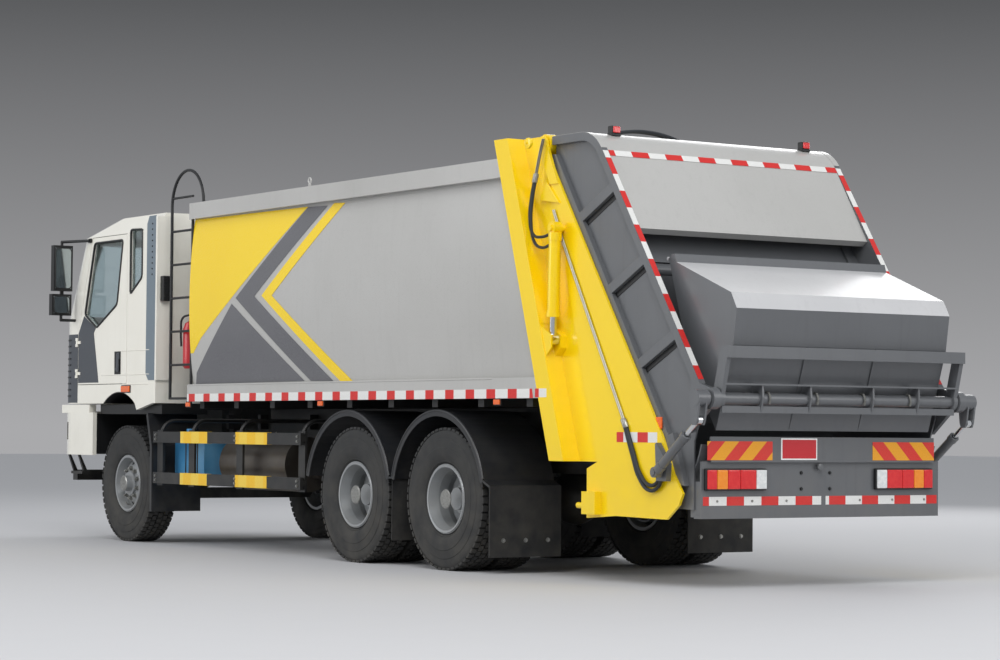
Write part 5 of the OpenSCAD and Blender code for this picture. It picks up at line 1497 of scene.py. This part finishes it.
@dataclass
class Tailgate(Assembly):
    """Ribs, tape, lamps, pipes and hoses on the tailgate.

    Attributes:
        lean: Slope of the rear wall.
        plate_y: Outer face of the yellow frame.
        roof_bend: Middle of the roof's bend as (x, z).
        rib_reach: Reach of each rib down the wall.
        feed_y: Place of the pipes from the hinge.
        run_y: Place of the long pipes to the bucket's cylinders.
        run_line: Corners of a long pipe as (x, z), from the top down.
    """

    lean: float = 0.685
    plate_y: float = 1.120
    roof_bend: tuple = (-3.547, 2.9)
    rib_reach: tuple = (0.420, 1.060, 1.700)
    feed_y: float = 1.150
    run_y: float = 1.131
    run_line: tuple = ((-3.240, 2.660), (-3.370, 2.410), (-4.130, 1.120))

    def rear_edge(self, z: float) -> float:
        """Gives the place of the grey wall's rear edge at a height."""
        return -3.834 - (3.012 - z) * self.lean

    def edge_tape(self) -> None:
        """Runs reflective tape down the walls and across the roof, and a silver strip along the roof."""
        y0, y1 = 1.052, 1.098
        top, low = 3.052, 1.42
        strip = Bench.plate("left_edge_tape", [Vector((self.rear_edge(z) - 0.001, y, z)) for y, z in
                                               ((y0, top), (y1, top), (y1, low), (y0, low))], (-0.0015, 0, -0.001))
        self.pair(strip, "tailgate", Slot.GREY, "tape_wall")
        down, out = Vector((-0.565, 0, -0.825)), Vector((-0.825, 0, 0.565))
        start = Vector((-3.7945, -1.048, 3.0695)) + down * 0.018
        corners = [start + out * 0.0004, start + down * 0.05 + out * 0.0004, start + down * 0.05 + out * 0.0016,
                   start + out * 0.0016]
        self.put(Bench.plate("roof_tape", corners, (0, 2.096, 0)), "tailgate", Slot.SILVER, "tape_cross")
        bend_x, bend_z = self.roof_bend
        under, over = ([(-3.19, top), *[(bend_x + radius * math.cos(math.radians(a)),
                                         bend_z + radius * math.sin(math.radians(a))) for a in range(90, 146, 5)]]
                       for top, radius in ((3.2004, 0.3004), (3.2020, 0.3020)))
        strip = Bench.plate("left_roof_strip", [Vector((x, 1.047, z)) for x, z in under + over[::-1]], (0, 0.0535, 0))
        self.pair(Bench.smooth(strip), "tailgate", Slot.SILVER, "silver")

    def wall_ribs(self) -> None:
        """Adds three slanting ribs, each with a black strip of painted shade below it, and a marker lamp, to the grey
        walls.
        """
        down, faces, shades = Vector((-0.5651, 0, -0.8250)), [], []
        for reach in self.rib_reach:
            front = Vector((-3.197, 1.061, 3.069)) + down * (reach + 0.130)
            back = Vector((-3.794, 1.061, 3.012)) + down * (reach - 0.190)
            faces.append(Bench.plate("rib", [front, back, back + down * 0.075, front + down * 0.075],
                                     (0, 0.0365, 0), 0.003))
            # black strip below each rib: painted shade for the rib's shaded underside
            shades.append(Bench.plate("shade", [front + down * 0.074, back + down * 0.074, back + down * 0.112,
                                                front + down * 0.112], (0, 0.006, 0)))
        self.pair(Bench.join("left_wall_ribs", faces), "tailgate", Slot.GREY, "grey")
        self.pair(Bench.join("left_rib_gaps", shades), "tailgate", Slot.GREY, "black")
        lens = Bench.block("left_wall_marker", (-4.535, 1.098, 1.085), (-4.465, 1.112, 1.165), 0.006, 3)
        self.pair(lens, "tailgate", Slot.GREY, "marker")

    def roof_lamps(self) -> None:
        """Stands two marker lamps on the roof and lays two hoses across it."""
        for side, sign in BOTH:
            x, y, z = -3.640, sign * 0.88, 3.200
            stand = Bench.join(f"{side}_roof_lamp", [
                Bench.block("foot", (x - 0.035, y - 0.04, z - 0.022), (x + 0.035, y + 0.04, z - 0.004), 0.003),
                Bench.block("case", (x - 0.03, y - 0.035, z - 0.008), (x + 0.03, y + 0.035, z + 0.052), 0.008, 3)])
            self.put(stand, "tailgate", Slot.GREY, "black")
            lens = Bench.block(f"{side}_roof_lens", (x - 0.042, y - 0.03, z), (x - 0.028, y + 0.03, z + 0.046),
                               0.006, 3)
            self.put(lens, "tailgate", Slot.GREY, "lens_red")
        loops = [Bench.tube("loop", [(-3.50 + i * 0.05, 0.80 - i * 0.05, 3.212), (-3.45 + i * 0.05, 0.62, 3.245),
                                     (-3.40 + i * 0.05, 0.40, 3.262), (-3.36 + i * 0.05, 0.18, 3.245),
                                     (-3.33 + i * 0.05, 0.02 + i * 0.04, 3.212)], 0.013) for i in range(2)]
        self.put(Bench.join("roof_hoses", loops), "tailgate", Slot.HOSE, "hose")

    def cheeks(self) -> None:
        """Adds the tape and the grease fitting on the yellow frame's lower plates."""
        y = self.plate_y
        tape = Bench.plate("left_cheek_tape", [Vector((x, y - 0.0002, z)) for x, z in
                                               ((-4.03, 0.99), (-4.03, 1.06), (-4.50, 1.06), (-4.50, 0.99))],
                           (0, 0.0014, 0))
        self.pair(tape, "tailgate", Slot.YELLOW, "tape_sill")
        fitting = Bench.join("left_grease_block", [
            Bench.bar("flange", (-3.136, 1.10, 1.69), (-3.136, 1.142, 1.69), 0.045, 32, 0.006),
            Bench.bar("plug", (-3.136, 1.14, 1.69), (-3.136, 1.160, 1.69), 0.022, 6)])
        self.pair(fitting, "tailgate", Slot.YELLOW, "yellow")

    def pipes(self) -> None:
        """Runs the plated pipes and black hoses to the lift cylinders and the bucket's cylinders."""
        y, run_y = self.feed_y, self.run_y
        lug = Bench.plate("left_lift_gusset", [Vector((x, 1.119, z)) for x, z in
                                               ((-3.161, 2.870), (-3.060, 2.744), (-3.323, 2.707))],
                          (0, 0.014, 0), 0.002)
        self.pair(lug, "tailgate", Slot.YELLOW, "yellow")
        feeds, hoses, ends, runs, tails = [], [], [], [], []
        for shift in (0.0, 1.0):
            a, b = 0.019 * shift, 0.030 * shift
            feeds.append(Bench.tube("feed", [(-3.130 - a, y, 3.185), (-3.105 - a, y + 0.01, 3.08),
                                             (-3.060 - a, y + 0.02, 2.90)], 0.0065))
            hoses.append(Bench.tube("feed_hose", [
                (-3.060 - a, y + 0.02, 2.90), (-3.034 - a, y + 0.03, 2.76), (-3.030 - a, y + 0.04, 2.62 - b),
                (-3.085 - a, y + 0.045, 2.49 - b * 2), (-3.200, y + 0.045, 2.465 - b * 2.6),
                (-3.320, y + 0.045, 2.485 - b * 2.6)], 0.011))
            ends.append(Bench.bar("ferrule", (-3.068 - a, y + 0.016, 2.935), (-3.054 - a, y + 0.022, 2.87),
                                  0.016, 16, 0.003))
            runs.append(Bench.tube("run", [(x - a, run_y, z) for x, z in self.run_line], 0.006, 3, False, "VECTOR"))
            ends.append(Bench.bar("ferrule", (-4.112 - a, run_y, 1.150), (-4.148 - a, run_y, 1.090), 0.017, 16, 0.003))
            tails.append(Bench.tube("tail", [
                (-4.130 - a, run_y, 1.120), (-4.232 - a, 1.133, 0.900 + b * 0.4), (-4.320 - a * 0.5, 1.137, 0.745 + b),
                (-4.440, 1.141, 0.664 + b * 1.2), (-4.545 + a * 0.3, 1.143, 0.690 + b * 1.2),
                (-4.590 + a, 1.145, 0.760 + b)], 0.013))
        self.pair(Bench.join("left_feed_pipes", feeds), "tailgate", Slot.HOSE, "pipe")
        left = Bench.join("left_feed_hoses", hoses)
        for piece, reach in ((Bench.mirrored(left, "right_feed_hoses"), -1.19), (left, 1.19)):
            piece.data.materials.clear()
            piece.data.materials.append(self.palette.get("hose"))
            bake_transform(piece)
        self.pair(Bench.join("left_hose_ferrules", ends), "tailgate", Slot.HOSE, "nut")
        pipes = Bench.join("left_tip_pipes", runs)
        self.pair(pipes, "tailgate", Slot.HOSE, "pipe")
        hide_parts("hydraulic_lines")
        self.pair(Bench.join("left_tip_hoses", tails), "tailgate", Slot.HOSE, "hose")

    def build(self) -> None:
        """Builds everything on the tailgate."""
        self.edge_tape()
        self.wall_ribs()
        self.roof_lamps()
        self.cheeks()
        self.pipes()


@dataclass
class RearBoard(Assembly):
    """Warning boards, a blank plate, lamps, tape and bolts on the rear board.

    Attributes:
        lower_x: Rear face of the main plate.
        upper_x: Rear face of the upper plate.
        lenses: Lenses of a tail lamp as (start, end, finish), in shares of its width from outside.
    """

    lower_x: float = -4.921
    upper_x: float = -4.946
    lenses: tuple = ((0.0, 0.16, "lens_red"), (0.16, 0.34, "lens_amber"), (0.34, 0.55, "lens_red"),
                     (0.55, 0.82, "lens_red"), (0.82, 1.0, "lens_white"))

    def boards(self) -> None:
        """Fixes the striped boards and the bare red plate."""
        x = self.upper_x
        for side, sign, finish in (("left", 1, "board_left"), ("right", -1, "board_right")):
            ys = sorted((0.475, 1.035) if sign > 0 else (-0.425, -1.0))
            board = Bench.block(f"{side}_warning_board", (x - 0.003, ys[0], 0.876), (x + 0.0005, ys[1], 1.004), 0.001)
            self.put(board, "tailgate", Slot.GREY, finish)
        edge = Bench.block("plate_edge", (x - 0.004, 0.08, 0.878), (x + 0.0005, 0.40, 1.027), 0.0015)
        self.put(edge, "tailgate", Slot.GREY, "white_line")
        field_plate = Bench.block("plate_field", (x - 0.005, 0.090, 0.888), (x - 0.002, 0.390, 1.017), 0.001)
        self.put(field_plate, "tailgate", Slot.GREY, "red")

    def lamps(self) -> None:
        """Builds each tail lamp from its case and five lenses."""
        x = self.lower_x
        for side, sign in BOTH:
            inner, outer = (0.53, 1.04) if sign > 0 else (0.46, 0.98)
            ys = sorted((sign * inner, sign * outer))
            case = Bench.block(f"{side}_lamp_case", (x - 0.030, ys[0] - 0.006, 0.672),
                               (x + 0.0005, ys[1] + 0.006, 0.820), 0.008, 3)
            self.put(case, "tailgate", Slot.GREY, "black")
            span = outer - inner
            for index, (a, b, finish) in enumerate(self.lenses):
                near, far = sorted((sign * (outer - a * span), sign * (outer - b * span)))
                lens = Bench.block(f"{side}_lamp_lens_{index}", (x - 0.042, near + 0.0015, 0.681),
                                   (x - 0.027, far - 0.0015, 0.811), 0.007, 3)
                self.put(lens, "tailgate", Slot.GREY, finish)

    def tape_and_bolts(self) -> None:
        """Lays the lower tape with its rivets and adds the bolts and the knob."""
        x = self.lower_x
        parts = [Bench.block("tape", (x - 0.0015, a, 0.57), (x + 0.0004, b, 0.63), 0.0004)
                 for a, b in ((-1.05, -0.02), (0.02, 1.05))]
        self.put(Bench.join("board_tape", parts), "tailgate", Slot.GREY, "tape_cross")
        rivets = [(x - 0.001, y, 0.60) for y in (-0.93, -0.63, -0.33, 0.33, 0.63, 0.93)]
        self.put(self.bolts("tape_rivets", rivets, (-1, 0, 0), 0.007), "tailgate", Slot.GREY, "nut")
        holes = [(x, y, z) for y in (0.2, -0.056) for z in (0.79, 0.68)]
        self.put(self.bolts("board_bolts", holes, (-1, 0, 0), 0.010), "tailgate", Slot.GREY, "black")
        knob = Bench.join("board_knob", [
            Bench.bar("neck", (x, 0.053, 0.83), (x - 0.02, 0.053, 0.83), 0.012, 20, 0.002),
            Bench.bar("head", (x - 0.018, 0.053, 0.83), (x - 0.036, 0.053, 0.83), 0.024, 20, 0.005)])
        self.put(knob, "tailgate", Slot.GREY, "grey")

    def build(self) -> None:
        """Builds everything on the rear board."""
        self.boards()
        self.lamps()
        self.tape_and_bolts()


@dataclass
class Bucket(Assembly):
    """Top faces and lip in a lighter grey as a painted highlight, and the shaft clips of the tipping bucket.

    Attributes:
        half: Half the bucket's width.
        outline: Corners of the bucket's side from the lip to the foot of its brow.
        clip_y: Places of the shaft clips.
    """

    half: float = 0.955
    outline: tuple = ((-4.402, 2.264), (-5.093, 2.001), (-5.154, 1.894))
    clip_y: tuple = (-0.62, -0.20, 0.22, 0.64)

    def skin_sheet(self, name: str, a: Point, b: Point, finish: str) -> bpy.types.Object:
        """Lays a thin sheet on one face of the bucket between two corners; its lighter grey is a painted highlight.

        Args:
            name: Name of the sheet.
            a: Upper corner as (x, z).
            b: Lower corner as (x, z).
            finish: Key of the finish.

        Returns:
            The sheet.
        """
        a, b = Vector((a[0], 0, a[1])), Vector((b[0], 0, b[1]))
        along = (b - a).normalized()
        out = Vector((along.z, 0, -along.x))
        if out.z < 0:
            out = -out
        lift = out * 0.0012
        corners = [a + lift, b + lift, b - lift * 0.2, a - lift * 0.2]
        sheet = Bench.plate(name, [c - Vector((0, self.half, 0)) for c in corners], (0, 2 * self.half, 0))
        return self.put(sheet, "bucket", Slot.GREY, finish)

    def build(self) -> None:
        """Builds everything on the bucket."""
        edge, brow, foot = self.outline
        # the top and brow sheets carry a painted highlight: a lighter grey for the faces lit by the sky
        self.skin_sheet("bucket_top_painted_highlight", edge, brow, "bucket_painted_highlight_grey")
        self.skin_sheet("bucket_brow_painted_highlight", brow, foot, "bucket_painted_highlight_grey")
        # the lip shares that lighter grey of painted highlight
        lip = Bench.tube("bucket_lip", [(edge[0] + 0.012, y, edge[1] - 0.004)
                                        for y in (-self.half, -0.3, 0.3, self.half)], 0.012)
        self.put(lip, "bucket", Slot.GREY, "bucket_painted_highlight_grey")
        clips = [Bench.outline_tube("clip", [Vector((x, y, z)) for x, z in
                                             ((-5.116, 1.245), (-5.128, 1.290), (-5.112, 1.338), (-5.070, 1.345))],
                                    0.008) for y in self.clip_y]
        self.put(Bench.join("shaft_clips", clips), "bucket", Slot.GREY, "grey_worn")


@dataclass
class Studio:
    """Pale floor, soft lamps and the camera.

    Attributes:
        eye: Place of the camera.
        yaw: Heading in degrees.
        pitch: Rise in degrees.
        roll: Turn about the line of sight in degrees.
        lens: Focal length in millimetres on the sensor.
        sensor: Width of the sensor in millimetres.
        lamps: Name, place, aim, length of side and power in watts of each lamp.
        sky: Stops of the backdrop as (height, colour).
        air: Colour of the light from all round.
        air_level: Strength of that light.
    """

    eye: Vector = field(default_factory=lambda: Vector((-19.1757, 12.1055, 1.0614)))
    yaw: float = -33.4450
    pitch: float = 2.1545
    roll: float = 0.4661
    lens: float = 96.52
    sensor: float = 36
    lamps: tuple = (("key_lamp", (-13, 9, 13), (-0.5, 0, 1.4), 9, 1500),
                    ("fill_lamp", (6, 15, 7), (0, 0, 1.5), 9, 750),
                    ("back_lamp", (8, -13, 9), (0, 0, 1.5), 9, 650),
                    ("rear_lamp", (-16, -6, 6), (-3, 0, 1.5), 7, 380))
    sky: tuple = ((0.0, "A9A9AB"), (0.16, "58595B"))
    air: str = "E9ECF0"
    air_level: float = 0.6

    def camera(self) -> None:
        """Makes the camera from its heading, rise and roll."""
        yaw, pitch, roll = (math.radians(v) for v in (self.yaw, self.pitch, self.roll))
        ahead = Vector((math.cos(pitch) * math.cos(yaw), math.cos(pitch) * math.sin(yaw), math.sin(pitch)))
        right = Vector((math.sin(yaw), -math.cos(yaw), 0))
        up = right.cross(ahead)
        right, up = (right * math.cos(roll) + up * math.sin(roll), up * math.cos(roll) - right * math.sin(roll))
        data = bpy.data.cameras.new("camera")
        data.lens, data.sensor_width, data.sensor_fit = self.lens, self.sensor, "HORIZONTAL"
        data.clip_end = 500
        camera = bpy.data.objects.new("camera", data)
        bpy.context.collection.objects.link(camera)
        turn = Matrix((right, up, -ahead)).transposed().to_4x4()
        camera.matrix_world = Matrix.Translation(self.eye) @ turn
        bpy.context.scene.camera = camera

    def lamp(self, name: str, place: Point, aim: Point, size: float, power: float) -> None:
        """Hangs a soft square lamp.

        Args:
            name: Name of the lamp.
            place: Where it hangs.
            aim: Where it points.
            size: Length of its side.
            power: Its power in watts.
        """
        data = bpy.data.lights.new(name, "AREA")
        data.size, data.energy = size, power
        lamp = bpy.data.objects.new(name, data)
        bpy.context.collection.objects.link(lamp)
        way = Vector(aim) - Vector(place)
        lamp.matrix_world = Matrix.Translation(place) @ way.to_track_quat("-Z", "Y").to_matrix().to_4x4()

    def backdrop(self, tree: bpy.types.NodeTree) -> None:
        """Shows the camera alone a backdrop that darkens upward.

        Args:
            tree: The world's nodes.
        """
        place = add(tree, "TexCoord").outputs["Generated"]
        height = add(tree, "SeparateXYZ", links={"Vector": place}).outputs["Z"]
        ramp = add(tree, "ValToRGB", links={"Fac": height})
        for stop, (reach, colour) in zip(ramp.color_ramp.elements, self.sky):
            stop.color, stop.position = linear(colour), reach
        shown = add(tree, "Background", links={"Color": ramp.outputs["Color"]})
        seen = add(tree, "LightPath").outputs["Is Camera Ray"]
        mix = add(tree, "MixShader", links={0: seen, 1: tree.nodes["Background"].outputs[0], 2: shown.outputs[0]})
        tree.links.new(mix.outputs[0], tree.nodes["World Output"].inputs["Surface"])

    def build(self) -> None:
        """Builds the floor, the lamps, the world and the camera."""
        floor = Bench.block("studio_floor", (-80, -80, -0.4), (80, 80, 0.0), 0.0)
        floor.data.materials.append(Finish("pale_studio_floor", "C9C9CB", "C4C4C6", 0.8, mottle=0.1).build())
        for lamp in self.lamps:
            self.lamp(*lamp)
        world = bpy.data.worlds.new("studio_air")
        bpy.context.scene.world = world
        world.use_nodes = True
        air = world.node_tree.nodes["Background"]
        air.inputs["Color"].default_value = linear(self.air)
        air.inputs["Strength"].default_value = self.air_level
        self.backdrop(world.node_tree)
        bpy.context.scene.view_settings.view_transform = "Standard"
        self.camera()


def main() -> None:
    """Builds every sub-assembly in order."""
    logging.basicConfig(level=logging.INFO, format="%(message)s")
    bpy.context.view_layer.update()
    palette = Palette()
    for part in (CarriedNodes, Wheels, Cab, Chassis, LoadBody, Tailgate, RearBoard, Bucket):
        LOG.info("building %s", part.__name__)
        part(palette).build()
    Studio().build()


if __name__ == "__main__":
    main()
